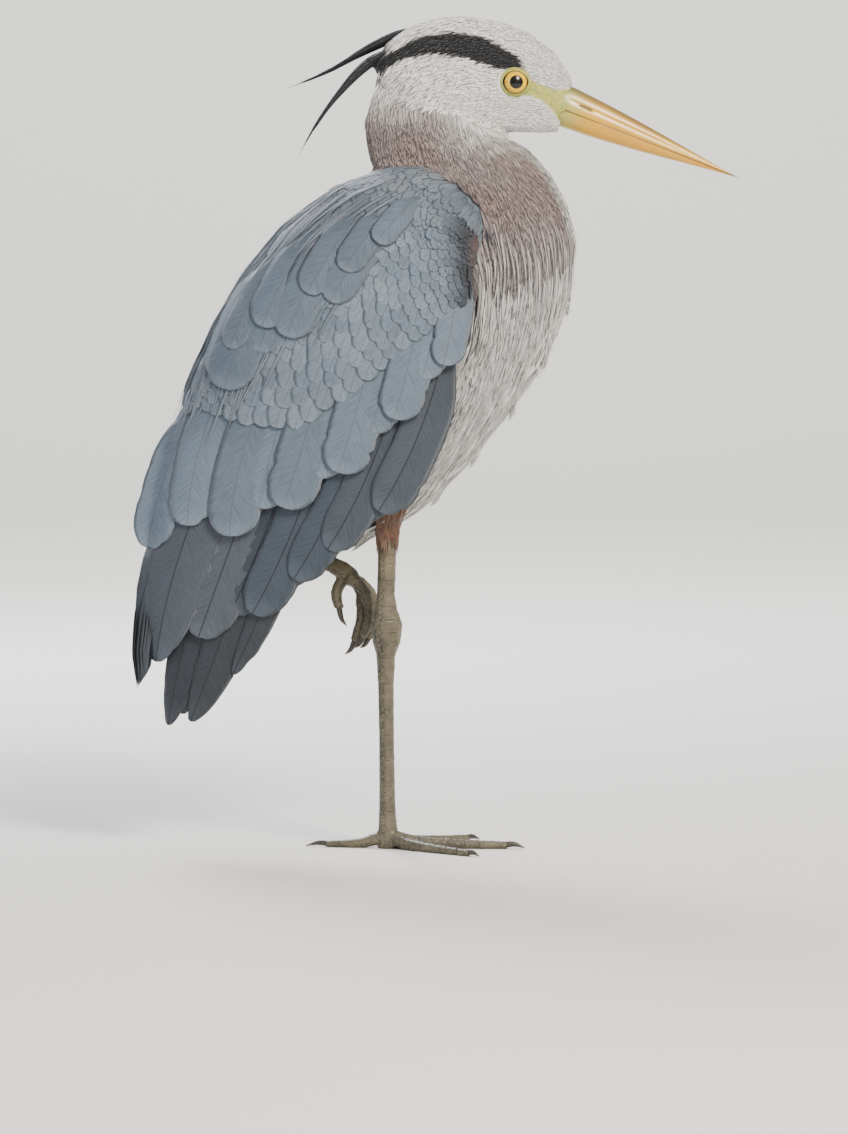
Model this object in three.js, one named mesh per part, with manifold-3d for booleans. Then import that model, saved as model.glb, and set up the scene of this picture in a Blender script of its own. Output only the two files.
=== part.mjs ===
// Great blue heron, life size, resting on one leg with its neck drawn in.
// Millimetres. The bird faces +X, +Y is its left side, +Z is up.
// The origin is the middle of the standing foot's sole, on the floor.
import * as THREE from "three";
import { mergeVertices } from "three/addons/utils/BufferGeometryUtils.js";
import Module from "manifold-3d";

const wasm = await Module();
wasm.setup();
const { Manifold, Mesh: SolidMesh } = wasm;

// ---------------------------------------------------------------- driving dimensions
const GAP = 0.35; // clearance between neighbouring pieces
const TARSUS = 165; // ankle joint to toe joint
const TOE_JOINT_Z = 11; // height of the toe joint over the floor
const ANKLE_Z = TOE_JOINT_Z + TARSUS;
const CULMEN = 147; // bill length along its ridge
const BILL_DEPTH = 32.5; // both halves of the bill, where the feathers end
const BILL_WIDTH = 23;
const BILL_DROOP = 21; // degrees that the bill points below level
const EYE_RADIUS = 11.2;
const SHELL = 4.2; // thickness of a layer of wing feathers
const MERGE_DISTANCE = 1e-4; // corners closer than this are one
const ENDLESS = 2000; // size of a box that reaches past the whole bird
const SLAB_DEPTH = 400; // reaches past both sides of the bird
const RIGHT = -1; // sign of y on the bird's right side
const LEFT = 1;

const deg = THREE.MathUtils.degToRad;
const v3 = (x, y, z) => new THREE.Vector3(x, y, z);
const lerp = THREE.MathUtils.lerp;
const clamp = THREE.MathUtils.clamp;

// ---------------------------------------------------------------- materials
const paint = (color, roughness) => new THREE.MeshStandardMaterial({ color, roughness, metalness: 0 });
const MATERIAL = {
  head: paint(0xe9e6df, 0.8),
  neck: paint(0xa99f98, 0.85),
  plumes: paint(0xc9c6c0, 0.8),
  back: paint(0x7f8f9f, 0.75),
  coverts: paint(0x6f7f90, 0.75),
  flight: paint(0x3b4450, 0.65),
  thigh: paint(0x8c5a3c, 0.85),
  crest: paint(0x15161a, 0.6),
  bill: paint(0xd9a23a, 0.35),
  lower_bill: paint(0xe3b04a, 0.35),
  eye: paint(0xf1c531, 0.08),
  leg: paint(0x5d5a4e, 0.55),
  claw: paint(0x2a2826, 0.4),
};

// ---------------------------------------------------------------- solids and meshes
const heron = new THREE.Group();

function addNode(name, geometry, material) {
  const mesh = new THREE.Mesh(geometry, material);
  mesh.name = name;
  heron.add(mesh);
}

function solidOf(geometry) {
  const bare = geometry.clone();
  const extras = Object.keys(bare.attributes).filter((key) => key !== "position");
  extras.forEach((key) => bare.deleteAttribute(key));
  const merged = mergeVertices(bare, MERGE_DISTANCE);
  return new Manifold(
    new SolidMesh({
      numProp: 3,
      vertProperties: merged.attributes.position.array,
      triVerts: new Uint32Array(merged.index.array),
    }),
  );
}

// The largest body of a solid: a cut can leave slivers beside it.
function mainBody(solid) {
  return solid.decompose().reduce((a, b) => (b.volume() > a.volume() ? b : a));
}

function geometryOf(solid) {
  const mesh = mainBody(solid).getMesh();
  const places = new Float32Array(mesh.numVert * 3);
  for (let i = 0; i < mesh.numVert; i++) {
    const start = i * mesh.numProp;
    places.set(mesh.vertProperties.subarray(start, start + 3), i * 3);
  }
  return new THREE.BufferGeometry()
    .setAttribute("position", new THREE.BufferAttribute(places, 3))
    .setIndex(new THREE.BufferAttribute(mesh.triVerts, 1));
}

// A closed skin over rings of equal length, with a fan over each end.
function skinOver(rings) {
  const sides = rings[0].length;
  const points = rings.flat();
  const faces = [];
  for (let i = 0; i + 1 < rings.length; i++) {
    for (let k = 0; k < sides; k++) {
      const a = i * sides + k;
      const b = i * sides + ((k + 1) % sides);
      faces.push(a, a + sides, b, b, a + sides, b + sides);
    }
  }
  for (const [ring, base, turned] of [
    [rings[0], 0, false],
    [rings.at(-1), (rings.length - 1) * sides, true],
  ]) {
    const centre = ring.reduce((sum, p) => sum.add(p), v3(0, 0, 0)).divideScalar(sides);
    const at = points.push(centre) - 1;
    for (let k = 0; k < sides; k++) {
      const [a, b] = [base + k, base + ((k + 1) % sides)];
      faces.push(...(turned ? [a, at, b] : [b, at, a]));
    }
  }
  return facingOut(points, faces);
}

// An indexed geometry, turned round if its faces point inwards.
function facingOut(points, faces) {
  const geometry = new THREE.BufferGeometry().setFromPoints(points);
  let volume = 0;
  for (let i = 0; i < faces.length; i += 3) {
    const [a, b, c] = [0, 1, 2].map((k) => points[faces[i + k]]);
    volume += a.dot(v3(0, 0, 0).crossVectors(b, c));
  }
  if (volume < 0) faces.reverse();
  geometry.setIndex(faces);
  return geometry;
}

// A half-space as a large box: everything on the side of `normal` from `point`, shifted along it.
function halfSpace(point, normal, shift = 0) {
  const box = new THREE.BoxGeometry(ENDLESS, ENDLESS, ENDLESS);
  const n = normal.clone().normalize();
  const turn = new THREE.Quaternion().setFromUnitVectors(v3(0, 0, 1), n);
  box.applyQuaternion(turn);
  const centre = point.clone().addScaledVector(n, shift + ENDLESS / 2);
  box.translate(centre.x, centre.y, centre.z);
  return solidOf(box);
}

// ---------------------------------------------------------------- lofts through stations
// A station is [back x, back z, front x, front z, half width]: the two ends of a section in
// the bird's middle plane, and how far the section reaches to each side.
class Form {
  constructor(stations, squareness = 2) {
    this.back = new THREE.CatmullRomCurve3(stations.map(([x, z]) => v3(x, 0, z)));
    this.front = new THREE.CatmullRomCurve3(stations.map(([, , x, z, w]) => v3(x, w, z)));
    this.power = 2 / squareness;
  }
  // The point of section t at angle phi, where 0 is the front, 90 degrees the left side, 180 the back.
  point(t, phi, grow) {
    const back = this.back.getPoint(t);
    const front = this.front.getPoint(t);
    const halfWidth = front.y;
    const half = v3(front.x - back.x, 0, front.z - back.z).multiplyScalar(0.5);
    const rounded = (v) => Math.sign(v) * Math.abs(v) ** this.power;
    const along = rounded(Math.cos(phi)) * (1 + grow / half.length());
    const across = (halfWidth + grow) * rounded(Math.sin(phi));
    return back.add(half).addScaledVector(half, along).add(v3(0, across, 0));
  }
  solid(steps, sides, grow = 0) {
    const rings = [];
    for (let i = 0; i <= steps; i++) {
      const ring = [];
      for (let k = 0; k < sides; k++) {
        const phi = (2 * Math.PI * k) / sides;
        ring.push(this.point(i / steps, phi, grow));
      }
      rings.push(ring);
    }
    return solidOf(skinOver(rings));
  }
}

// A tapering limb: a tube through stations of [x, y, z, half size in the side view, half size across].
function limbShape(stations, { steps = 3 * stations.length, sides = 8, grow = 0 } = {}) {
  const widthAxis = v3(0, 1, 0);
  const path = new THREE.CatmullRomCurve3(stations.map(([x, y, z]) => v3(x, y, z)));
  const sizes = new THREE.CatmullRomCurve3(stations.map(([, , , deep, wide]) => v3(deep, wide, 0)));
  const rings = [];
  for (let i = 0; i <= steps; i++) {
    const t = i / steps;
    const along = path.getTangent(t);
    const deepAxis = v3(0, 0, 0).crossVectors(along, widthAxis).normalize();
    const wideAxis = v3(0, 0, 0).crossVectors(deepAxis, along).normalize();
    const size = sizes.getPoint(t);
    const ring = [];
    for (let k = 0; k < sides; k++) {
      const phi = (2 * Math.PI * k) / sides;
      const place = path.getPoint(t);
      place.addScaledVector(deepAxis, (size.x + grow) * Math.cos(phi));
      place.addScaledVector(wideAxis, (size.y + grow) * Math.sin(phi));
      ring.push(place);
    }
    rings.push(ring);
  }
  return skinOver(rings);
}
const limb = (stations, options) => solidOf(limbShape(stations, options));

// The feathered head, from the bill's root back to the nape: crown first, then jaw.
const headForm = new Form(
  [
    [150, 603, 136, 572, 11.8],
    [145, 620, 127, 571, 14.2],
    [129, 641, 113, 571, 16.8],
    [103, 657, 98, 572, 18.8],
    [74, 664, 84, 573, 20.4],
    [48, 665, 68, 574, 21.4],
    [22, 659, 50, 575, 21.2],
    [1, 646, 36, 573, 20],
    [-13, 625, 26, 570, 16],
  ],
  2.15,
);
// The neck, folded in an S and seen as one mass, from behind the jaw down to the belly.
const neckForm = new Form(
  [
    [2, 626, 62, 583, 17],
    [-12, 606, 88, 574, 22],
    [-20, 583, 110, 562, 25],
    [-18, 556, 127, 546, 28],
    [-6, 533, 141, 524, 32],
    [10, 508, 150, 498, 37],
    [20, 478, 152, 468, 41],
    [20, 433, 142, 429, 45],
    [5, 388, 121, 384, 48],
    [-15, 348, 92, 341, 48],
    [-35, 310, 60, 302, 45],
    [-52, 284, 30, 272, 36],
    [-64, 264, 0, 253, 24],
    [-70, 250, -30, 242, 13],
  ],
  2.1,
);
// The trunk under the wings, from between the shoulders to the feathers under the tail.
const trunkForm = new Form(
  [
    [24, 538, 66, 518, 24],
    [-4, 536, 84, 488, 44],
    [-42, 520, 96, 448, 57],
    [-80, 492, 102, 400, 64],
    [-110, 457, 92, 352, 67],
    [-132, 420, 68, 314, 65],
    [-149, 380, 40, 283, 59],
    [-160, 340, 8, 257, 51],
    [-168, 302, -30, 239, 42],
    [-174, 268, -62, 227, 32],
    [-176, 240, -92, 216, 22],
    [-174, 220, -122, 206, 12],
  ],
  2.3,
);
// The outside of the folded wings, which close over the back and hang free past the trunk.
const cloakForm = new Form(
  [
    [42, 550, 66, 532, 30],
    [6, 550, 88, 500, 52],
    [-36, 535, 104, 453, 66],
    [-78, 507, 116, 398, 73],
    [-110, 470, 112, 342, 76],
    [-135, 433, 92, 292, 74],
    [-153, 392, 66, 252, 69],
    [-169, 352, 42, 222, 63],
    [-182, 308, 20, 196, 57],
    [-191, 266, -5, 178, 51],
    [-192, 224, -30, 160, 45],
    [-193, 182, -52, 135, 39],
    [-188, 146, -74, 108, 33],
    [-182, 106, -92, 84, 27],
    [-176, 70, -108, 56, 22],
  ],
  2.4,
);
const FLESH_SIDES = 16;
const HEAD_STEPS = 9;
const NECK_STEPS = 12;
const TRUNK_SIDES = 12;
const TRUNK_STEPS = 8;
const CLOAK_SIDES = 16;
const CLOAK_STEPS = 13;

// ---------------------------------------------------------------- outlines seen from the side
// An outline in the XZ plane, made into a slab that reaches past the bird on both sides.
function slab(outline, dx = 0, dz = 0) {
  const options = { depth: SLAB_DEPTH, bevelEnabled: false, curveSegments: 2 };
  const geometry = new THREE.ExtrudeGeometry(outline, options);
  geometry.rotateX(Math.PI / 2).translate(dx, SLAB_DEPTH / 2, dz);
  return solidOf(geometry);
}

// The same slab, wider by the clearance below, behind and ahead.
function roomFor(outline) {
  const deeper = slab(outline).add(slab(outline, 0, -GAP));
  return deeper.add(slab(outline, -GAP)).add(slab(outline, GAP));
}

// Adds a row of feather tips to an outline. Each feather's lower edge curves down to its tip,
// and its other edge climbs by `notch` to where the next feather comes out from under it.
const TIP_FULLNESS = 0.08; // how little of its climb a lower edge has done half way along
const NOTCH_LEAN = 0.35; // how far back each notch runs, as a share of its height
function addTips(outline, tips, notch) {
  for (const [x, z] of tips) {
    const start = outline.currentPoint;
    outline.quadraticCurveTo(lerp(x, start.x, 0.5), lerp(z, start.y, TIP_FULLNESS), x, z);
    outline.lineTo(x - NOTCH_LEAN * notch, z + notch);
  }
  return outline;
}

const outlineFrom = (x, z) => new THREE.Shape().moveTo(x, z);
const BEHIND = -300; // far enough back and up to clear the bird
const ABOVE = 700;

// The mantle and scapular feathers: everything above the line from the shoulder to the back.
const MANTLE_TIPS = [
  [-40, 452],
  [-80, 409],
  [-131, 369],
];
const COVERT_NOTCH = 13; // on the back and on the wing coverts
const SECONDARY_NOTCH = 11;
const mantleOutline = addTips(outlineFrom(6, 492), MANTLE_TIPS, COVERT_NOTCH)
  .lineTo(-150, 394)
  .lineTo(BEHIND, 394)
  .lineTo(BEHIND, ABOVE)
  .lineTo(120, ABOVE)
  .lineTo(90, 482)
  .quadraticCurveTo(60, 518, 34, 508)
  .lineTo(6, 492);

// The shoulder and the wing coverts, down to their row of tips.
const COVERT_TIPS = [
  [44, 388],
  [5, 346],
  [-38, 304],
  [-83, 276],
  [-125, 253],
  [-159, 261],
  [-191, 241],
];
const covertOutline = outlineFrom(-60, 480)
  .lineTo(6, 496)
  .quadraticCurveTo(40, 518, 62, 484)
  .quadraticCurveTo(77, 452, 61, 404);
addTips(covertOutline, COVERT_TIPS, COVERT_NOTCH).lineTo(BEHIND, 262).lineTo(BEHIND, 480).lineTo(-60, 480);

// The secondary feathers, whose tips hang below the coverts.
const SECONDARY_TIPS = [
  [-7, 273],
  [-47, 243],
  [-74, 219],
  [-110, 191],
];
const secondaryOutline = outlineFrom(-60, 470).lineTo(62, 470).quadraticCurveTo(66, 380, 28, 308);
addTips(secondaryOutline, SECONDARY_TIPS, SECONDARY_NOTCH)
  .lineTo(-132, 240)
  .lineTo(-176, 330)
  .lineTo(-60, 470);

// The primary feathers, the longest, which reach down beside the tail.
const primaryOutline = outlineFrom(-98, 216)
  .quadraticCurveTo(-106, 166, -123, 142)
  .lineTo(-128, 150)
  .quadraticCurveTo(-140, 110, -158, 103)
  .quadraticCurveTo(-165, 106, -165, 116)
  .quadraticCurveTo(-168, 106, -176, 99)
  .quadraticCurveTo(-186, 112, -186, 148)
  .lineTo(BEHIND, 180)
  .lineTo(BEHIND, 420)
  .lineTo(-98, 420)
  .lineTo(-98, 216);

// ---------------------------------------------------------------- thighs, in feathers
const KNEE_SIDE = 29; // how far the right leg leans out at HIP_Z
const HIP_Z = 300;
const legSide = (z) => (-KNEE_SIDE * (z - TOE_JOINT_Z)) / (HIP_Z - TOE_JOINT_Z); // y of the standing leg
const THIGH_END_Z = 258;
const thighRight = (grow = 0) =>
  limb(
    [
      [10, legSide(345), 345, 40, 24],
      [6, legSide(305), 305, 27, 19],
      [2, legSide(276), 276, 14, 12.5],
      [0, legSide(THIGH_END_Z), THIGH_END_Z, 8.8, 8.2],
    ],
    { steps: 5, sides: 10, grow },
  );
const thighLeft = (grow = 0) =>
  limb(
    [
      [-20, 36, 318, 38, 24],
      [-46, 32, 275, 26, 20],
      [-64, 27, 246, 17, 14],
      [-60, 23, 233, 8, 7.6],
    ],
    { steps: 5, sides: 10, grow },
  );
const standingLeg = (grow = 0) =>
  limb(
    [
      [0, legSide(272), 272, 8.2, 7.4],
      [-0.5, legSide(230), 230, 7.4, 6.6],
      [-1.5, legSide(200), 200, 7.4, 6.8],
      [-1, legSide(ANKLE_Z + 6), ANKLE_Z + 6, 12.9, 10],
      [-1, legSide(ANKLE_Z - 6), ANKLE_Z - 6, 12.1, 9.4],
      [-1.5, legSide(152), 152, 7, 6.2],
      [-1, legSide(95), 95, 6.2, 5.6],
      [-0.5, legSide(35), 35, 6.6, 6],
      [0, 0, 13, 8, 7.6],
      [0, 0, 0, 8.4, 8],
    ],
    { steps: 15, sides: 8, grow },
  );
// The raised left leg's shin comes forward out of the belly feathers to the foot.
const KNUCKLE = [-33, 17, 220];
const shin = (grow = 0) =>
  limb(
    [
      [-72, 26, 240.5, 6.7, 6],
      [-58, 22, 232.5, 6.7, 6],
      [-45, 19, 226.7, 6.7, 6],
      [...KNUCKLE, 7.8, 7.2],
      [-26, 16.5, 213, 5.8, 6.2],
    ],
    { steps: 6, grow },
  );
const thighCutter = thighRight(GAP).add(thighLeft(GAP));
const legCutter = thighCutter.add(standingLeg(GAP)).add(shin(GAP));

// ---------------------------------------------------------------- the cuts of the neck
const headWhole = headForm.solid(HEAD_STEPS, FLESH_SIDES);
const headCutter = headForm.solid(HEAD_STEPS, FLESH_SIDES, GAP);
const neckWhole = neckForm.solid(NECK_STEPS, FLESH_SIDES);
const neckCutter = neckForm.solid(NECK_STEPS, FLESH_SIDES, GAP);

// Thin cuts across the neck: [a point in the middle plane, the normal that points down the neck].
const NECK_CUT = [v3(50, 0, 540), v3(0.15, 0, -1)];
const BREAST_CUT = [v3(80, 0, 452), v3(0.3, 0, -1)];
const beyond = ([point, normal]) => halfSpace(point, normal, GAP / 2);
const before = ([point, normal]) => halfSpace(point, normal.clone().negate(), GAP / 2);

// Long plumes on the breast, which hang free of it at their tips.
const BREAST_PLUMES = [
  [140, 424, 22],
  [123, 381, 25],
  [94, 341, 26],
  [62, 303, 24],
  [32, 274, 20],
];
const PLUME_LEAN = deg(64);
const PLUME_ROOT = 1.7; // from the tip back to the root, as a share of the length that shows
const plumeSolids = BREAST_PLUMES.flatMap(([x, z, length], i) =>
  (i % 2 ? [-1, 0, 1] : [0]).map((row) => {
    const side = row * (8 + length * 0.35);
    const back = Math.abs(row) * 4;
    const tip = v3(x - back, side, z - back);
    const run = v3(Math.cos(PLUME_LEAN), 0, Math.sin(PLUME_LEAN)).multiplyScalar(PLUME_ROOT * length);
    const root = tip.clone().add(run);
    return limb(
      [
        [root.x - 9, side, root.z, 3, 4],
        [tip.x + 0.5 * run.x - 4, side, tip.z + 0.5 * run.z, 4.6, 4.4],
        [tip.x, side, tip.z, 0.5, 0.6],
      ],
      { steps: 3, sides: 4 },
    );
  }),
);

// ---------------------------------------------------------------- bill and eyes
const droop = deg(BILL_DROOP);
const BILL_ROOT = v3(133, 0, 592.5); // on the line of the closed mouth, inside the feathers
const billAxis = v3(Math.cos(droop), 0, -Math.sin(droop));
const billUp = v3(Math.sin(droop), 0, Math.cos(droop));
const BILL_LENGTH = CULMEN + 10; // measured on the mouth line
const BILL_BURIED = 16; // how far each half runs back into the head
const FEATHERED = 0.07; // share of that length that the feathers of the face cover
const UPPER_SHARE = 0.6; // of the depth of the bill
const BLUNTNESS = 0.02; // what is left of the bill's size at its tip

// One half of the bill: `up` is 1 for the upper half and -1 for the lower.
function billHalf(up, grow = 0) {
  const steps = 7;
  const arc = 6;
  const share = up > 0 ? UPPER_SHARE : 1 - UPPER_SHARE;
  const swell = up > 0 ? 0.1 : 0.2;
  const rings = [];
  for (let i = 0; i <= steps; i++) {
    const u = lerp(-BILL_BURIED / BILL_LENGTH, 1, i / steps);
    const forward = clamp((u - FEATHERED) / (1 - FEATHERED), 0, 1);
    const taper = Math.max(1 - forward, BLUNTNESS) * (1 + swell * Math.sin(Math.PI * forward));
    const high = BILL_DEPTH * share * taper + grow;
    const wide = (BILL_WIDTH / 2) * taper ** 0.95 + grow;
    const centre = BILL_ROOT.clone().addScaledVector(billAxis, u * BILL_LENGTH);
    const floor = grow ? 0 : GAP / 2;
    const ring = [];
    for (let k = 0; k <= arc; k++) {
      const phi = (Math.PI * k) / arc;
      const roof = Math.sin(phi) ** (up > 0 ? 0.85 : 1.1);
      const place = centre.clone().addScaledVector(billUp, up * (floor + high * roof));
      ring.push(place.add(v3(0, wide * Math.cos(phi), 0)));
    }
    rings.push(ring);
  }
  return solidOf(skinOver(rings));
}

const EYE_CENTRE = v3(101, 12.9, 611);
const EYE_FLATTENED = 0.86;
function eyeBall(side, grow = 0) {
  const ball = new THREE.SphereGeometry(EYE_RADIUS + grow, 12, 7);
  ball.rotateX(Math.PI / 2);
  ball.scale(1, EYE_FLATTENED, 1);
  ball.translate(EYE_CENTRE.x, side * EYE_CENTRE.y, EYE_CENTRE.z);
  return solidOf(ball);
}

let headSolid = headWhole.subtract(billHalf(1, GAP)).subtract(billHalf(-1, GAP));
for (const side of [LEFT, RIGHT]) headSolid = headSolid.subtract(eyeBall(side, GAP));

// Two black plumes trail from the back of the crown.
const upperPlume = [
  [30, 4, 653, 3.5, 2.4],
  [6, 5, 646, 4.8, 2.6],
  [-20, 5.5, 635, 4.6, 2.4],
  [-50, 6, 619, 3.4, 1.8],
  [-86, 6.5, 605, 0.7, 0.6],
];
const lowerPlume = [
  [2, -6, 632, 3.2, 2.4],
  [-14, -6.5, 626, 4.6, 2.4],
  [-32, -7, 610, 4.6, 2.2],
  [-54, -7.5, 582, 3.4, 1.7],
  [-73, -8, 549, 0.7, 0.6],
];
const headAndNeck = headCutter.add(neckCutter);
const crest = (stations) => limb(stations, { steps: 9, sides: 6 }).subtract(headAndNeck);

addNode("head", geometryOf(headSolid), MATERIAL.head);
addNode("bill_upper", geometryOf(billHalf(1)), MATERIAL.bill);
addNode("bill_lower", geometryOf(billHalf(-1)), MATERIAL.lower_bill);
addNode("eye_right", geometryOf(eyeBall(RIGHT)), MATERIAL.eye);
addNode("eye_left", geometryOf(eyeBall(LEFT)), MATERIAL.eye);
addNode("crest_upper", geometryOf(crest(upperPlume)), MATERIAL.crest);
addNode("crest_lower", geometryOf(crest(lowerPlume)), MATERIAL.crest);

const neckFree = neckWhole.subtract(headCutter);
const breastBare = neckWhole.intersect(beyond(BREAST_CUT));
const breastSolid = plumeSolids.reduce((all, plume) => all.add(plume), breastBare);
addNode("neck_upper", geometryOf(neckFree.intersect(before(NECK_CUT))), MATERIAL.neck);
const neckLower = neckFree.intersect(beyond(NECK_CUT)).intersect(before(BREAST_CUT));
addNode("neck_lower", geometryOf(neckLower), MATERIAL.neck);
addNode("breast", geometryOf(breastSolid.subtract(legCutter)), MATERIAL.plumes);

// ---------------------------------------------------------------- trunk, thighs and tail
const trunkWhole = trunkForm.solid(TRUNK_STEPS, TRUNK_SIDES);
const trunkSolid = trunkWhole.subtract(neckCutter).subtract(standingLeg(GAP));
const bodyCutter = trunkForm.solid(TRUNK_STEPS, TRUNK_SIDES, GAP).add(neckCutter);
const tailForm = new Form(
  [
    [-172, 274, -146, 254, 16],
    [-190, 238, -168, 226, 22],
    [-203, 196, -180, 188, 27],
    [-206.5, 160, -189, 156, 30],
    [-204, 136, -193, 133, 30],
    [-202, 126, -195, 124, 27],
  ],
  3,
);
const TAIL_STEPS = 7;
const TAIL_SIDES = 12;
const tailSolid = tailForm.solid(TAIL_STEPS, TAIL_SIDES).subtract(bodyCutter);
const tailCutter = tailForm.solid(TAIL_STEPS, TAIL_SIDES, GAP);

addNode("trunk", geometryOf(trunkSolid), MATERIAL.back);
addNode("tail", geometryOf(tailSolid), MATERIAL.flight);
const thighAbove = thighRight().intersect(halfSpace(v3(0, 0, THIGH_END_Z), v3(0, 0, 1), GAP));
addNode("thigh_right", geometryOf(thighAbove.subtract(bodyCutter)), MATERIAL.thigh);
addNode("thigh_left", geometryOf(thighLeft().subtract(bodyCutter)), MATERIAL.thigh);

// ---------------------------------------------------------------- wings
const WING_INNER = -9; // the inside of a folded wing, where it hangs free of the trunk
const WING_ROOT = [v3(0, 0, 300), v3(0.4, 0, -1)]; // above this slope the wings are closed
const cloakOuter = cloakForm.solid(CLOAK_STEPS, CLOAK_SIDES);
const cloakUnder = cloakForm.solid(CLOAK_STEPS, CLOAK_SIDES, -SHELL);
const cloakInner = cloakForm.solid(CLOAK_STEPS, CLOAK_SIDES, WING_INNER);
const wingHollow = cloakInner.intersect(halfSpace(...WING_ROOT));
const insideWings = bodyCutter.add(headCutter).add(tailCutter).add(legCutter).add(wingHollow);

const mantleRoom = roomFor(mantleOutline);
const covertRoom = roomFor(covertOutline).add(mantleRoom);
const secondaryRoom = roomFor(secondaryOutline).add(covertRoom);
const mantleWhole = cloakOuter.intersect(slab(mantleOutline));
addNode("mantle", geometryOf(mantleWhole.subtract(insideWings)), MATERIAL.back);
for (const [name, side] of [
  ["right", RIGHT],
  ["left", LEFT],
]) {
  const half = halfSpace(v3(0, 0, 0), v3(0, side, 0), GAP).subtract(insideWings);
  const layer = (outer, outline, taken) => {
    const whole = outer.intersect(half).intersect(slab(outline));
    return geometryOf(whole.subtract(taken));
  };
  addNode(`wing_${name}_coverts`, layer(cloakOuter, covertOutline, mantleRoom), MATERIAL.coverts);
  addNode(`wing_${name}_secondaries`, layer(cloakUnder, secondaryOutline, covertRoom), MATERIAL.flight);
  addNode(`wing_${name}_primaries`, layer(cloakUnder, primaryOutline, secondaryRoom), MATERIAL.flight);
}

// ---------------------------------------------------------------- the standing leg
const ANKLE_HALF = 15; // the joint piece reaches this far above and below the ankle
const level = (z) => v3(0, 0, z);
const UP = v3(0, 0, 1);
const DOWN = v3(0, 0, -1);
const slice = (solid, low, high) =>
  solid.intersect(halfSpace(level(low), UP)).intersect(halfSpace(level(high), DOWN));
const legSolid = standingLeg();
const shankRight = slice(legSolid, ANKLE_Z + ANKLE_HALF, THIGH_END_Z - GAP);
const ankleRight = slice(legSolid, ANKLE_Z - ANKLE_HALF + GAP, ANKLE_Z + ANKLE_HALF - GAP);
const tarsusRight = slice(legSolid, 0, ANKLE_Z - ANKLE_HALF);
addNode("shank_right", geometryOf(shankRight), MATERIAL.leg);
addNode("ankle_right", geometryOf(ankleRight), MATERIAL.leg);
addNode("tarsus_right", geometryOf(tarsusRight), MATERIAL.leg);

// ---------------------------------------------------------------- the standing foot
// Each toe is [name, direction in degrees from straight ahead, length, half thickness at the root].
const TOES = [
  ["middle", -3, 96, 5.4],
  ["inner", 36, 80, 4.9],
  ["outer", -40, 84, 4.9],
  ["hind", 172, 50, 4.7],
];
const TOE_ROOT = 5; // from the middle of the foot to where the toes begin
const CLAW_LENGTH = { middle: 14, inner: 12, outer: 11, hind: 17 };

function flatToe(length, thick) {
  const low = 0.82; // the centre's height as a share of the thickness, so that the sole is flat
  return limbShape(
    [
      [TOE_ROOT, 0, TOE_JOINT_Z - 2, thick * 1.1, thick * 1.1],
      [TOE_ROOT + 12, 0, thick * 1.05, thick * 1.02, thick],
      [length * 0.5, 0, thick * low * 0.84, thick * 0.84, thick * 0.86],
      [length, 0, thick * low * 0.6, thick * 0.6, thick * 0.6],
    ],
    { steps: 5, sides: 8 },
  );
}

function clawShape(length, claw, thick) {
  const rise = thick * 0.6;
  return limbShape(
    [
      [length - 3, 0, rise, thick * 0.42, thick * 0.36],
      [length + claw * 0.45, 0, rise * 1.15, thick * 0.34, thick * 0.26],
      [length + claw, 0, 0.9, 0.5, 0.45],
    ],
    { steps: 3, sides: 6 },
  );
}

const hubCutter = limb(
  [
    [0, 0, 40, 8.8, 8.4],
    [0, 0, -2, 8.8, 8.4],
  ],
  { steps: 1, sides: 10 },
);
let footTaken = hubCutter;
for (const [name, direction, length, thick] of TOES) {
  const turn = deg(direction);
  const toeWhole = solidOf(flatToe(length, thick).rotateZ(turn)).intersect(halfSpace(level(0), UP));
  const toe = toeWhole.subtract(footTaken);
  const toeCutter = solidOf(flatToe(length + GAP, thick + GAP).rotateZ(turn));
  const clawWhole = solidOf(clawShape(length, CLAW_LENGTH[name], thick).rotateZ(turn));
  const claw = clawWhole.intersect(halfSpace(level(0), UP)).subtract(toeCutter);
  addNode(`toe_right_${name}`, geometryOf(toe), MATERIAL.leg);
  addNode(`claw_right_${name}`, geometryOf(claw), MATERIAL.claw);
  footTaken = footTaken.add(toeCutter);
}

// ---------------------------------------------------------------- the raised foot
// The left foot hangs closed under the belly, and its shin runs back into the feathers.
const shinFree = shin().subtract(bodyCutter).subtract(thighCutter);
addNode("tarsus_left", geometryOf(shinFree), MATERIAL.leg);

const HANGING_TOES = {
  middle: [
    [-31, 17, 217, 5.6, 5.2],
    [-22.5, 17, 209, 5.6, 5],
    [-20.5, 17, 193, 5.2, 4.7],
    [-22.5, 16.5, 177, 4.7, 4.2],
    [-27, 16, 165.5, 3.9, 3.5],
  ],
  inner: [
    [-32, 12, 217, 4.8, 4.6],
    [-20, 9.5, 209, 4.7, 4.4],
    [-15, 8, 194, 4.3, 4],
    [-16, 8, 179, 3.8, 3.5],
    [-20.5, 9, 169, 3.2, 2.9],
  ],
  outer: [
    [-32, 22, 217, 4.8, 4.6],
    [-17.5, 25, 209, 4.7, 4.4],
    [-10.5, 27, 193, 4.3, 4],
    [-11, 27, 177, 3.7, 3.5],
    [-16, 25.5, 167, 3.1, 2.9],
  ],
  hind: [
    [-37, 17, 215, 5, 4.8],
    [-41.5, 17, 204, 4.9, 4.5],
    [-39.5, 17, 192, 3.8, 3.6],
  ],
};
let hangingTaken = shin(GAP);
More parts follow.
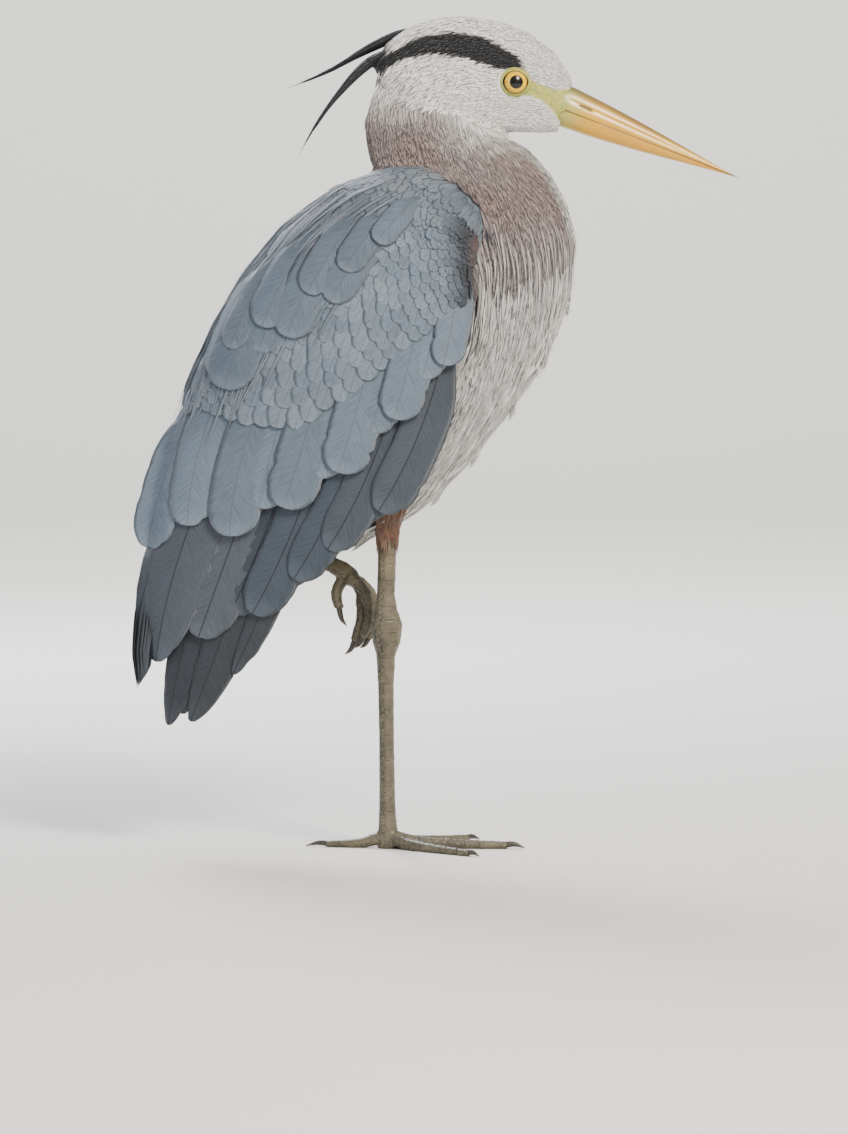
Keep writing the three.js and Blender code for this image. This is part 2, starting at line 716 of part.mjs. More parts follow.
for (const [name, stations] of Object.entries(HANGING_TOES)) {
  const toe = limb(stations, { steps: 6, sides: 7 }).subtract(hangingTaken);
  const toeCutter = limb(stations, { steps: 6, sides: 7, grow: GAP });
  const [previous, last] = stations.slice(-2).map(([x, y, z]) => v3(x, y, z));
  const ahead = last.clone().sub(previous).normalize();
  const curl = v3(ahead.z, 0, -ahead.x).multiplyScalar(name === "hind" ? -0.5 : 0.5);
  const reach = CLAW_LENGTH[name];
  const at = (share, bend) => {
    const straight = last.clone().addScaledVector(ahead, reach * share);
    return straight.addScaledVector(curl, reach * bend);
  };
  const claw = limb(
    [
      [...at(-0.15, 0), 2.3, 1.9],
      [...at(0.5, 0.06), 1.7, 1.4],
      [...at(0.9, 0.45), 0.45, 0.45],
    ],
    { steps: 4, sides: 6 },
  );
  addNode(`toe_left_${name}`, geometryOf(toe), MATERIAL.leg);
  addNode(`claw_left_${name}`, geometryOf(claw.subtract(toeCutter)), MATERIAL.claw);
  hangingTaken = hangingTaken.add(toeCutter);
}

export default heron;
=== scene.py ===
# %% [markdown]
# # A great blue heron at rest
# A heron that rests on one leg is a smooth bundle of feathers on a thin stilt. This lesson builds one closed
# skin, lays solid feathers over it by the thousand, and adds what has no feathers: the bill, the eyes, the
# legs and the claws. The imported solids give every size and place.

# %% Load the frame
import math

import bmesh
import bpy
import numpy as np
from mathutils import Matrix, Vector
from mathutils.bvhtree import BVHTree
from mathutils.kdtree import KDTree


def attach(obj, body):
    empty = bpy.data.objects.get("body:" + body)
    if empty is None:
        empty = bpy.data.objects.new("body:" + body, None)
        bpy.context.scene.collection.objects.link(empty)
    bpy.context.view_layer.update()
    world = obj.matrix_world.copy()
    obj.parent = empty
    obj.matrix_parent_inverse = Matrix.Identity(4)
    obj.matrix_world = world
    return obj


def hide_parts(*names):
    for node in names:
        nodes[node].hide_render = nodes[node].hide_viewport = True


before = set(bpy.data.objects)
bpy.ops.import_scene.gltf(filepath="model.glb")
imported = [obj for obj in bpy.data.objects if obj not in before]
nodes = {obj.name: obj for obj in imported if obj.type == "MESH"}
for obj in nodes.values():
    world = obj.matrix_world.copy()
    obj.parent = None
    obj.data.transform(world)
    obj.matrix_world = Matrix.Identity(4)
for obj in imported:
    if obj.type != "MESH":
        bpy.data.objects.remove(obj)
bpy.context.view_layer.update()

MM = 0.001
RIGHT, LEFT = SIDES = (-1, 1)
LABELS = {RIGHT: "right", LEFT: "left"}
chance = np.random.default_rng(41)

# %% [markdown]
# ## Where the viewer stands
# The bird is seen from its right side, from the height of its breast and about three metres off. A long lens
# keeps the far foot as large as the near one.

# %% Camera
VIEW_CENTRE = Vector((0.029, 0.0, 0.226))
VIEW_HEIGHT, SENSOR_WIDTH = 0.907, 36
VIEWER = Vector((0.029, -3.4, 0.42))


def placed(thing):
    """Puts an object in the scene."""
    bpy.context.scene.collection.objects.link(thing)
    return thing


def aimed(thing, place, target):
    """Stands a camera or a lamp at a place and turns it to its target."""
    thing.location = place
    thing.rotation_euler = (Vector(target) - Vector(place)).to_track_quat("-Z", "Y").to_euler()
    return placed(thing)


camera_data = bpy.data.cameras.new("viewer")
camera_data.sensor_width = SENSOR_WIDTH
camera_data.lens = SENSOR_WIDTH * (VIEW_CENTRE - VIEWER).length / VIEW_HEIGHT
bpy.context.scene.camera = aimed(bpy.data.objects.new("viewer", camera_data), VIEWER, VIEW_CENTRE)
print("lens:", round(camera_data.lens, 1), "mm")

# %% [markdown]
# ## Short ways to build materials
# A finish takes dozens of nodes. These helpers add a node, link it or set its sockets, and hand back what
# comes out, so each finish stays readable.

# %% Helpers for node trees
def linear(code):
    """A colour written as six hexadecimal digits, in the linear values that shaders use."""
    parts = [int(code[i:i + 2], 16) / 255 for i in (0, 2, 4)]
    return [v / 12.92 if v <= 0.04045 else ((v + 0.055) / 1.055) ** 2.4 for v in parts]


def set_input(tree, socket, value):
    """Links a socket to another, or sets it to a number, a vector or a colour of six digits."""
    if isinstance(value, bpy.types.NodeSocket):
        tree.links.new(value, socket)
    else:
        socket.default_value = (*linear(value), 1) if isinstance(value, str) else value


def add(tree, kind, settings=None, **inputs):
    """A new shader node with its settings and its inputs by name, where _ stands for a space."""
    node = tree.nodes.new("ShaderNode" + kind)
    for key, value in (settings or {}).items():
        setattr(node, key, value)
    for key, value in inputs.items():
        set_input(tree, node.inputs[key.replace("_", " ")], value)
    return node


def maths(tree, operation, *values, clamp=False):
    node = add(tree, "Math", {"operation": operation, "use_clamp": clamp})
    for socket, value in zip(node.inputs, values):
        set_input(tree, socket, value)
    return node.outputs[0]


def times(tree, a, b):
    return maths(tree, "MULTIPLY", a, b)


def scaled(tree, colour, share):
    node = add(tree, "VectorMath", {"operation": "SCALE"}, Scale=share)
    tree.links.new(colour, node.inputs[0])
    return node.outputs[0]


def ramp(tree, value, low, high, to_low=0.0, to_high=1.0):
    """A smooth step from to_low, where the value is low, to to_high, where it is high."""
    return add(tree, "MapRange", {"interpolation_type": "SMOOTHSTEP"}, Value=value, From_Min=low,
               From_Max=high, To_Min=to_low, To_Max=to_high).outputs[0]


def mix(tree, share, a, b):
    """A colour between a and b."""
    node = add(tree, "Mix", {"data_type": "RGBA"}, Factor=share)
    set_input(tree, node.inputs[6], a)
    set_input(tree, node.inputs[7], b)
    return node.outputs[2]


def split(tree, vector):
    return add(tree, "SeparateXYZ", Vector=vector).outputs


def joined_xyz(tree, *parts):
    return add(tree, "CombineXYZ", **dict(zip("XYZ", parts))).outputs[0]


def stored(tree, name):
    """The three parts of a vector that is stored on the mesh."""
    return split(tree, add(tree, "Attribute", {"attribute_name": name}).outputs["Vector"])


def object_place(tree):
    return add(tree, "TexCoord").outputs["Object"]


def noise(tree, place, scale, detail, **settings):
    return add(tree, "TexNoise", settings, Vector=place, Scale=scale, Detail=detail).outputs["Fac"]


def voronoi(tree, place, scale, output="Distance", **settings):
    return add(tree, "TexVoronoi", settings, Vector=place, Scale=scale).outputs[output]


def relief(tree, height, strength, distance):
    return add(tree, "Bump", Strength=strength, Distance=distance, Height=height).outputs[0]


def start_material(name):
    material = bpy.data.materials.new(name)
    material.use_nodes = True
    return material, material.node_tree


def finished(material, **inputs):
    """Fills the inputs of the material's shader."""
    tree = material.node_tree
    for label, value in inputs.items():
        set_input(tree, tree.nodes["Principled BSDF"].inputs[label.replace("_", " ")], value)
    return material


# %% [markdown]
# ## The floor and the light
# A pale round floor that curves up all round the bird shows no horizon. Soft lamps stand where a studio
# would have them: a key, a fill, a rim from behind, and one for the backdrop.

# %% Floor
FLAT, BEND, TOP, FLOOR_SIDES = 6.0, 2.0, 2.6, 96


def bowl_floor():
    """A round floor that curves up all round, so that no side of the bird has a horizon behind it."""
    profile = [(FLAT * step / 4, 0) for step in range(1, 5)]
    for step in range(1, 13):
        angle = math.pi / 2 * step / 12
        profile.append((FLAT + BEND * math.sin(angle), BEND * (1 - math.cos(angle))))
    profile.append((FLAT + BEND, TOP))
    ring = range(FLOOR_SIDES)
    turns = [2 * math.pi * k / FLOOR_SIDES for k in ring]
    points = [(0, 0, 0)] + [(r * math.cos(turn), r * math.sin(turn), z) for r, z in profile for turn in turns]
    faces = [(0, 1 + k, 1 + (k + 1) % FLOOR_SIDES) for k in ring]
    for first in range(1, 1 + (len(profile) - 1) * FLOOR_SIDES, FLOOR_SIDES):
        above = first + FLOOR_SIDES
        for a, b in zip(ring, [*ring[1:], 0]):
            faces.append((first + a, above + a, above + b, first + b))
    mesh = bpy.data.meshes.new("floor")
    mesh.from_pydata(points, [], faces)
    mesh.polygons.foreach_set("use_smooth", [True] * len(faces))
    return placed(bpy.data.objects.new("floor", mesh))


floor = bowl_floor()
floor_material, floor_tree = start_material("pale_floor")
floor_grain = add(floor_tree, "TexNoise", Scale=260).outputs["Fac"]
floor_bump = add(floor_tree, "Bump", Strength=0.04, Height=floor_grain).outputs["Normal"]
floor.data.materials.append(finished(floor_material, Base_Color="e6e4df", Roughness=0.85, Normal=floor_bump))

# %% Lamps
BIRD_MIDDLE = (0, 0, 0.4)
world = bpy.data.worlds.new("studio")
bpy.context.scene.world = world
world.use_nodes = True
set_input(world.node_tree, world.node_tree.nodes["Background"].inputs["Color"], "e6ebf2")
set_input(world.node_tree, world.node_tree.nodes["Background"].inputs["Strength"], 0.45)
for name, place, target, size, power, colour in (
        ("key", (1.3, -2.2, 2.3), BIRD_MIDDLE, 0.9, 170, "fff6ec"),
        ("fill", (-2.4, -1.8, 1.1), BIRD_MIDDLE, 1.8, 24, "e8f0ff"),
        ("rim", (-0.9, 2.0, 2.0), BIRD_MIDDLE, 1.2, 90, "f2f6ff"),
        ("backdrop", (0, 2.5, 4.5), (0, 8, 1), 3.0, 500, "ffffff")):
    light = bpy.data.lights.new(name, "AREA")
    light.size = size
    light.energy = power
    light.color = linear(colour)
    aimed(bpy.data.objects.new(name, light), place, target)

# %% [markdown]
# ## One skin under all the feathers
# The frame has a separate solid for the head, each length of neck, the breast and so on. A real bird has one
# skin, so those solids are closed into one surface by a voxel remesh, softened, and drawn in by the depth of
# the coat.

# %% Join the solids of flesh
FLESH = ["head", "neck_upper", "neck_lower", "breast", "trunk", "mantle", "thigh_right", "thigh_left",
         "wing_right_coverts", "wing_left_coverts"]
(HEAD, NECK_UPPER, NECK_LOWER, BREAST, TRUNK, MANTLE, THIGH_RIGHT, THIGH_LEFT, COVERTS_RIGHT,
 COVERTS_LEFT) = range(len(FLESH))
FLESH_VOXEL, LEAST_ISLAND = 2.0, 400


def read(items, field, width, kind=float):
    """One field of every item of a mesh, as an array with `width` columns."""
    values = np.empty(len(items) * width, kind)
    items.foreach_get(field, values)
    return values.reshape(-1, width)


def arrays_of(mesh):
    """The vertices of a mesh in millimetres, and its triangles."""
    mesh.calc_loop_triangles()
    return read(mesh.vertices, "co", 3) / MM, read(mesh.loop_triangles, "vertices", 3, int)


def stacked(names):
    """Several nodes as one set of arrays, with the number of the node that each triangle came from."""
    arrays = [arrays_of(nodes[name].data) for name in names]
    starts = np.cumsum([0] + [len(points) for points, _ in arrays])
    return (np.concatenate([points for points, _ in arrays]),
            np.concatenate([triangles + start for (_, triangles), start in zip(arrays, starts)]),
            np.repeat(np.arange(len(names)), [len(triangles) for _, triangles in arrays]))


def unit(vectors):
    return vectors / np.maximum(np.linalg.norm(vectors, axis=-1, keepdims=True), 1e-12)


class Surface:
    """A closed surface in millimetres that points can be laid on."""

    def __init__(self, points, triangles, normals=None):
        self.points, self.triangles = points, triangles
        self.tree = BVHTree.FromPolygons(points.tolist(), triangles.tolist())
        corners = points[triangles]
        across = np.cross(corners[:, 1] - corners[:, 0], corners[:, 2] - corners[:, 0])
        self.areas = np.linalg.norm(across, axis=1) / 2
        self.normals = unit(across) if normals is None else unit(normals[triangles].sum(1))

    def nearest(self, points):
        """The closest point of the surface to each point, its normal and its triangle."""
        hits = [self.tree.find_nearest(p) for p in points.tolist()]
        faces = np.array([hit[2] for hit in hits])
        return np.array([hit[0][:] for hit in hits]), self.normals[faces], faces


def closed_over(shapes, voxel, smoothing, fill=0.0):
    """One mesh over several shapes, by a voxel remesh. With `fill`, the form is grown by it, remeshed and
    shrunk again, which closes the creases narrower than twice that."""
    mesh = bpy.data.meshes.new("closed")
    mesh.from_pydata((shapes[0] * MM).tolist(), [], shapes[1].tolist())
    thing = placed(bpy.data.objects.new("closed", mesh))
    for step in (fill, -fill) if fill else (0,):
        remesh = thing.modifiers.new("close", "REMESH")
        remesh.mode = "VOXEL"
        remesh.voxel_size = voxel * MM
        if step:
            grow = thing.modifiers.new("grow", "DISPLACE")
            grow.strength, grow.mid_level = step * MM, 0
    soften = thing.modifiers.new("soften", "SMOOTH")
    soften.factor = 0.5
    soften.iterations = smoothing
    graph = bpy.context.evaluated_depsgraph_get()
    closed = bpy.data.meshes.new_from_object(thing.evaluated_get(graph))
    bpy.data.objects.remove(thing)
    return closed


def without_bubbles(mesh):
    """Deletes the connected pieces of a mesh that have few vertices."""
    work = bmesh.new()
    work.from_mesh(mesh)
    unseen, waste = set(work.verts), []
    while unseen:
        first = unseen.pop()
        island, front = [first], [first]
        while front:
            for edge in front.pop().link_edges:
                for other in edge.verts:
                    if other in unseen:
                        unseen.discard(other)
                        island.append(other)
                        front.append(other)
        if len(island) < LEAST_ISLAND:
            waste += island
    bmesh.ops.delete(work, geom=waste, context="VERTS")
    work.to_mesh(mesh)
    work.free()
    return mesh


BODY, CREASE = FLESH[2:6] + FLESH[8:], 13.0
body_points, body_triangles = arrays_of(without_bubbles(closed_over(stacked(BODY), FLESH_VOXEL, 4, CREASE)))
all_points, all_triangles, _ = stacked(FLESH)
joined = (np.concatenate([body_points, all_points]),
          np.concatenate([body_triangles, all_triangles + len(body_points)]))
skin_mesh = without_bubbles(closed_over(joined, FLESH_VOXEL, 8))
print("skin faces:", len(skin_mesh.polygons))

# %% [markdown]
# The coat is thin on the face and deep on the breast. The depths of the parts are blended over the mesh
# first, or a step would show at each border.

# %% Draw the skin in by the depth of the coat
COAT_DEPTH = np.array([1.2, 2.6, 3.2, 4.4, 3.6, 4.2, 2.4, 2.4, 3.4, 3.4])
BLEND_PASSES = 14
BREAST_BACK, BREAST_FOOT, BREAST_TOP = 40, 330, 455
*flesh, flesh_owner = stacked(FLESH)
flesh = Surface(*flesh)


def blended(values, edges, passes):
    """Averages values over the edges of a mesh, again and again."""
    count = np.maximum(np.bincount(edges.ravel(), minlength=len(values)), 1)
    for _ in range(passes):
        total = np.bincount(edges[:, 0], values[edges[:, 1]], len(values))
        total += np.bincount(edges[:, 1], values[edges[:, 0]], len(values))
        values = 0.4 * values + 0.6 * total / count
    return values


def move_vertices(mesh, points):
    mesh.vertices.foreach_set("co", (points * MM).ravel())
    mesh.update()


def part_of(points):
    """The number of the part of the bird at each point. In front of the wings, the trunk is breast."""
    part = flesh_owner[flesh.nearest(points)[2]]
    in_front = (part == TRUNK) & (points[:, 0] > BREAST_BACK) & (points[:, 2] > BREAST_FOOT)
    return np.where(in_front, np.where(points[:, 2] > BREAST_TOP, NECK_LOWER, BREAST), part)


skin_points, skin_triangles = arrays_of(skin_mesh)
skin_part = part_of(skin_points)
depth = blended(COAT_DEPTH[skin_part], read(skin_mesh.edges, "vertices", 2, int), BLEND_PASSES)
skin_points = skin_points - read(skin_mesh.vertices, "normal", 3) * depth[:, None]
move_vertices(skin_mesh, skin_points)
skin = Surface(skin_points, skin_triangles, read(skin_mesh.vertices, "normal", 3))
print(f"coat depth: {depth.min():.1f} to {depth.max():.1f} mm, skin area: {skin.areas.sum():.0f} mm2")

# %% [markdown]
# ## Which way the feathers lie
# Feathers point away from the bill and down the body, like tiles on a roof. A few arrows on the side of each
# part are enough: between them the direction turns smoothly, and laid flat on the skin it is right all
# round.

# %% Arrows for the lie: x and z in millimetres, and the angle in the side view (0 forward, 90 up, 270 down)
HEAD_LIE = [
    (148, 602, 150), (140, 625, 122), (129, 641, 132), (103, 657, 160), (74, 664, 177), (48, 665, 185),
    (22, 659, 200), (1, 646, 218), (-13, 625, 240), (128, 604, 172), (101, 627, 175), (101, 596, 188),
    (118, 590, 178), (70, 602, 186), (40, 610, 194), (10, 610, 218), (130, 577, 182), (100, 575, 184),
    (70, 578, 196), (40, 584, 222)]
NECK_LIE = [
    (62, 583, 262), (88, 574, 302), (110, 562, 318), (127, 546, 308), (141, 524, 292), (150, 498, 278),
    (152, 468, 268), (142, 429, 252), (2, 626, 246), (-12, 606, 252), (-20, 583, 268), (-18, 556, 286),
    (-6, 533, 300), (35, 590, 272), (50, 560, 292), (70, 530, 296), (85, 490, 282), (85, 440, 262),
    (65, 390, 247)]
BREAST_LIE = [
    (152, 452, 262), (142, 429, 250), (121, 384, 243), (92, 341, 236), (60, 302, 228), (30, 272, 220),
    (85, 440, 256), (65, 390, 246), (0, 253, 205), (-40, 250, 202)]
TRUNK_LIE = [
    (24, 538, 200), (-80, 492, 229), (-110, 457, 233), (-149, 380, 245), (-168, 302, 257), (30, 300, 214),
    (-40, 262, 204), (-92, 218, 212), (-122, 208, 225), (-150, 225, 242), (20, 420, 246)]
MANTLE_LIE = [
    (42, 550, 192), (6, 550, 194), (-36, 535, 210), (-78, 507, 225), (-110, 470, 234), (-135, 433, 242),
    (-153, 392, 248), (0, 505, 212), (-40, 470, 226), (-80, 430, 234), (-120, 390, 242), (62, 520, 214),
    (84, 492, 232)]
COVERT_LIE = [
    (62, 470, 262), (70, 440, 263), (40, 490, 240), (10, 480, 238), (20, 430, 252), (-20, 440, 240),
    (-20, 390, 248), (-60, 400, 243), (-60, 340, 249), (-100, 360, 246), (-100, 290, 252), (-140, 320, 251),
    (-150, 270, 254), (-180, 270, 255), (0, 360, 252), (40, 400, 258)]
RIGHT_THIGH_LIE = [(10, 330, 264), (0, 265, 268)]
LEFT_THIGH_LIE = [(-20, 318, 236), (-64, 246, 244)]
LIE = [HEAD_LIE, NECK_LIE, NECK_LIE, BREAST_LIE, TRUNK_LIE, MANTLE_LIE, RIGHT_THIGH_LIE, LEFT_THIGH_LIE,
       COVERT_LIE, COVERT_LIE]
SOFTEST_TURN = 9.0


def lie_of(points, normals, parts):
    """Unit vectors in which the feathers at these points lie, along the surface."""
    flow = np.zeros_like(points)
    for number, arrows in enumerate(LIE):
        mine = np.broadcast_to(parts == number, len(points))
        x, z, angle = np.array(arrows, float).T
        gap = (points[mine, None, 0] - x) ** 2 + (points[mine, None, 2] - z) ** 2
        weight = 1 / (gap + SOFTEST_TURN ** 2) ** 1.5
        flow[mine, 0] = (weight * np.cos(np.radians(angle))).sum(1)
        flow[mine, 2] = (weight * np.sin(np.radians(angle))).sum(1)
    flow = unit(flow) + [0, 0, -0.12]
    return unit(flow - normals * (flow * normals).sum(1, keepdims=True))


# %% [markdown]
# ## Where the feathers grow
# Real feathers stand a feather's width apart. Points thrown at random clump, so each point that is kept
# clears a small circle round itself of the others.

# %% Scatter roots over the skin
def scattered(parts_here, allowed, spacing, thrown):
    """Points of the skin at least `spacing` millimetres apart, a function of the points and their parts."""
    room = skin.areas * np.isin(skin_part[skin.triangles[:, 0]], parts_here)
    faces = chance.choice(len(skin.triangles), thrown, p=room / room.sum())
    a, b = chance.random((2, thrown, 1))
    folded = a + b > 1
    a, b = np.where(folded, 1 - a, a), np.where(folded, 1 - b, b)
    corners = skin.points[skin.triangles[faces]]
    points = corners[:, 0] + a * (corners[:, 1] - corners[:, 0]) + b * (corners[:, 2] - corners[:, 0])
    parts = part_of(points)
    kept = allowed(points, skin.normals[faces], parts)
    points, parts, faces = points[kept], parts[kept], faces[kept]
    apart = spacing(points, parts)
    tree = KDTree(len(points))
    for number, point in enumerate(points.tolist()):
        tree.insert(point, number)
    tree.balance()
    free = np.ones(len(points), bool)
    chosen = []
    for number, point in enumerate(points.tolist()):
        if free[number]:
            chosen.append(number)
            for _, other, _ in tree.find_range(point, apart[number]):
                free[other] = False
    return points[chosen], skin.normals[faces[chosen]], parts[chosen]


def step_between(low, high, values):
    """0 below low, 1 above high and a smooth step between them."""
    t = np.clip((values - low) / (high - low), 0, 1)
    return t * t * (3 - 2 * t)


# %% [markdown]
# ## One feather
# A feather is a thin blade: a shaft, a vane on each side that droops a little, a narrow root and a rounded
# or pointed tip. Each blade is a closed solid from one grid of points, so thousands of them are computed
# together as arrays.

# %% Blades as arrays
ATLAS_PATCH = 0.003


def ring_faces(grid, flip=False, around=True):
    """Quads between the neighbours of a grid of vertex numbers, which may close on itself sideways."""
    if around:
        grid = np.concatenate([grid, grid[:, :1]], 1)
    quads = np.stack([grid[:-1, :-1], grid[:-1, 1:], grid[1:, 1:], grid[1:, :-1]], -1).reshape(-1, 4)
    return quads[:, ::-1] if flip else quads


class Blades:
    """Many blades of one grid: rows from root to tip, columns from one edge to the other."""

    def __init__(self, rows, columns, hollow):
        self.rows, self.columns, self.hollow = rows, columns, hollow
        self.u = np.linspace(-1, 1, columns)
        self.places, self.vane, self.shape, self.marks, self.atlas, self.under_atlas = [], [], [], [], [], []

    def faces_of_one(self):
        """Quads and triangles of one blade, each with which of them are on its underside."""
        rows, columns = self.rows, self.columns
        extra = columns - 2 if self.hollow else 0
        top = 1 + np.arange(rows * columns).reshape(rows, columns)
        middle = 1 + rows * columns + np.arange(rows * extra).reshape(rows, extra)
        inner = np.hstack([top[:, :1], middle, top[:, -1:]])
        tip = 1 + rows * (columns + extra)
        quads = [ring_faces(top, around=False), ring_faces(inner, around=False)[:, [0, 3, 2, 1]]]
        fans = [[0, b, a] for a, b in zip(top[0, :-1], top[0, 1:])]
        fans += [[tip, a, b] for a, b in zip(top[-1, :-1], top[-1, 1:])]
        fans += [[0, a, b] for a, b in zip(inner[0, :-1], inner[0, 1:])]
        fans += [[tip, b, a] for a, b in zip(inner[-1, :-1], inner[-1, 1:])]
        quad_under = np.arange(len(quads[0]) + len(quads[1])) >= len(quads[0])
        fan_under = np.arange(len(fans)) >= 2 * (columns - 1)
        return np.concatenate(quads), np.array(fans), quad_under, fan_under, tip + 1

    def add(self, spine, side, up, half_width, camber, thickness, seeds, marks, atlas, streak=0.0, vanes=None,
            drape=None, tilt=0.0):
        """Adds n blades. spine, side and up are [n, rows + 2, 3], and half_width is [n, rows + 2]. vanes
        scales the width column by column, tilt raises the +u edge by that share of the half width, and drape
        turns flat points and their rise into places."""
        n, rows, u = len(spine), self.rows, self.u
        gaps = np.linalg.norm(np.diff(spine, axis=1), axis=2)
        length = np.concatenate([np.zeros((n, 1)), gaps.cumsum(1)], 1)
        width = half_width[:, :, None] * u * (1 if vanes is None else vanes)
        arch = 1 - u * u
        rise = (camber * half_width[:, :, None] + thickness) * arch
        rise = rise + np.reshape(tilt, (-1, 1, 1)) * half_width[:, :, None] * u
        sheets = [rise] + ([rise - 2 * thickness * arch] if self.hollow else [])
        flat = spine[:, :, None] + side[:, :, None] * width[..., None]
        sheets = [drape(flat, r) if drape else flat + up[:, :, None] * r[..., None] for r in sheets]
        ends = [sheets[0][:, k, (len(u) - 1) // 2][:, None] for k in (0, -1)]
        inner = slice(1, -1)

        def gathered(first, whole, last, below=None):
            """One value for the root, the top rows, the rows below and the tip."""
            whole = np.broadcast_to(whole, (n, rows, len(u), *whole.shape[3:]))
            blocks = [whole, (whole if below is None else below)[:, :, inner]] if self.hollow else [whole]
            return np.concatenate([first, *(a.reshape(n, -1, *a.shape[3:]) for a in blocks), last], 1)

        nothing = np.zeros((n, 1))
        places = gathered(ends[0], sheets[0][:, inner], ends[1], sheets[-1][:, inner])
        across = gathered(nothing, width[:, inner], nothing)
        down = gathered(length[:, :1], length[:, inner, None], length[:, -1:])
        edge = gathered(nothing, np.abs(u), nothing)
        reach = gathered(nothing, (length / length[:, -1:])[:, inner, None], nothing + 1)
        self.places.append(places)
        self.vane.append(np.stack([across, down, np.broadcast_to(seeds[:, None], across.shape)], -1))
        streak = np.broadcast_to(np.reshape(streak, (-1, 1)), across.shape)
        self.shape.append(np.stack([edge, reach, streak], -1))
        self.marks.append(np.broadcast_to(marks[:, None], places.shape))
        sideways = 0.5 * across / np.maximum(half_width.max(1)[:, None], 1e-6)
        top, under = atlas(sideways, reach) if callable(atlas) else [
            atlas[:, None] + ATLAS_PATCH * np.stack([sideways, reach - 0.5], -1)] * 2
        self.atlas.append(top)
        self.under_atlas.append(under)

    def mesh(self, name):
        quads, fans, quad_under, fan_under, size = self.faces_of_one()
        places = np.concatenate(self.places)
        starts = (np.arange(len(places)) * size)[:, None, None]
        mesh = mesh_from_arrays(name, places.reshape(-1, 3), (quads + starts).reshape(-1, 4),
                                (fans + starts).reshape(-1, 3))
        for label, values in (("vane", self.vane), ("shape", self.shape), ("marks", self.marks)):
            put_vectors(mesh, label, np.concatenate(values).reshape(-1, 3))
        under = np.concatenate([np.repeat(np.tile(quad_under, len(places)), 4),
                                np.repeat(np.tile(fan_under, len(places)), 3)])
        top, below = (np.concatenate(places).reshape(-1, 2) for places in (self.atlas, self.under_atlas))
        put_atlas(mesh, top, below, under)
        return mesh


def mesh_from_arrays(name, points, quads, fans=None):
    """A smooth mesh from arrays of vertices in millimetres, quads and triangles."""
    fans = np.zeros((0, 3), int) if fans is None else fans
    mesh = bpy.data.meshes.new(name)
    mesh.vertices.add(len(points))
    mesh.vertices.foreach_set("co", (points * MM).ravel())
    corners = np.concatenate([quads.ravel(), fans.ravel()]).astype(np.int32)
    sizes = np.concatenate([np.full(len(quads), 4), np.full(len(fans), 3)])
    mesh.loops.add(len(corners))
    mesh.loops.foreach_set("vertex_index", corners)
    mesh.polygons.add(len(sizes))
    mesh.polygons.foreach_set("loop_start", (np.cumsum(sizes) - sizes).astype(np.int32))
    mesh.polygons.foreach_set("use_smooth", np.ones(len(sizes), bool))
    mesh.update(calc_edges=True)
    return mesh


def put_vectors(mesh, name, values):
    layer = mesh.attributes.new(name, "FLOAT_VECTOR", "POINT")
    layer.data.foreach_set("vector", values.astype(np.float32).ravel())


def put_atlas(mesh, per_vertex, under_per_vertex, under):
    """The map of a mesh of blades, where `under` marks the corners of faces on the underside."""
    corners = read(mesh.loops, "vertex_index", 1, int)[:, 0]
    places = np.where(under[:, None], under_per_vertex[corners], per_vertex[corners])
    mesh.uv_layers.new(name="OFBake").uv.foreach_set("vector", places.astype(np.float32).ravel())


def show(name, made, slot, *replaced, material=None):
    """Puts a finished mesh, or blades, in the scene, hangs it from the frame's root and hides the parts that
    it replaces. Feathers take the material that is named like their slot."""
    mesh = made.mesh(name) if isinstance(made, Blades) else made
    piece = placed(bpy.data.objects.new(name, mesh))
    mesh.materials.append(material or feathers[slot])
    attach(piece, "root")
    if replaced:
        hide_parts(*replaced)
    print(name, (read(mesh.polygons, "loop_total", 1, int) - 2).sum(), "triangles")


# %% [markdown]
# ## A map of the skin for the roots
# Each feather takes its place on an unwrap of the skin's own shape. Unwrapping a light copy is quick, and
# every root then finds its triangle there.

# %% Unwrap a light copy of the skin
LIGHT_SHARE = 0.05


def unwrapped_copy(mesh, share):
    thing = placed(bpy.data.objects.new("light", mesh.copy()))
    thing.modifiers.new("fewer", "DECIMATE").ratio = share
    graph = bpy.context.evaluated_depsgraph_get()
    light = bpy.data.meshes.new_from_object(thing.evaluated_get(graph))
    thing.modifiers.clear()
    thing.data = light
    bpy.context.view_layer.objects.active = thing
    thing.select_set(True)
    bpy.ops.object.mode_set(mode="EDIT")
    bpy.ops.mesh.select_all(action="SELECT")
    bpy.ops.uv.smart_project(angle_limit=math.radians(60), island_margin=0.004)
    bpy.ops.object.mode_set(mode="OBJECT")
    light = thing.data
    points, triangles = arrays_of(light)
    places = read(light.uv_layers[0].uv, "vector", 2)[read(light.loop_triangles, "loops", 3, int)]
    bpy.data.objects.remove(thing)
    return Surface(points, triangles), places


light_skin, light_uv = unwrapped_copy(skin_mesh, LIGHT_SHARE)


def on_atlas(points):
    """The place on the unwrapped skin nearest to each point."""
    places, _, faces = light_skin.nearest(points)
    a, b, c = (light_skin.points[light_skin.triangles[faces, k]] for k in range(3))
    v0, v1, v2 = b - a, c - a, places - a
    d00, d01, d11 = (v0 * v0).sum(1), (v0 * v1).sum(1), (v1 * v1).sum(1)
    d20, d21 = (v2 * v0).sum(1), (v2 * v1).sum(1)
    base = np.maximum(d00 * d11 - d01 * d01, 1e-9)
    v, w = (d11 * d20 - d01 * d21) / base, (d00 * d21 - d01 * d20) / base
    share = np.stack([1 - v - w, v, w], 1)[..., None]
    return (light_uv[faces] * share).sum(1)


print("light skin triangles:", len(light_skin.triangles))

# %% [markdown]
# ## The markings
# A great blue heron has a white face and crown, and a black stripe from over the eye to the nape. The neck
# is a pinkish grey with a streaked white stripe down its front, the bend of the wing is black and chestnut,
# the thighs are chestnut, and the back is blue-grey. Three masks carry this, pale, warm and dark, for the
# skin and for the feathers, so no gap shows.

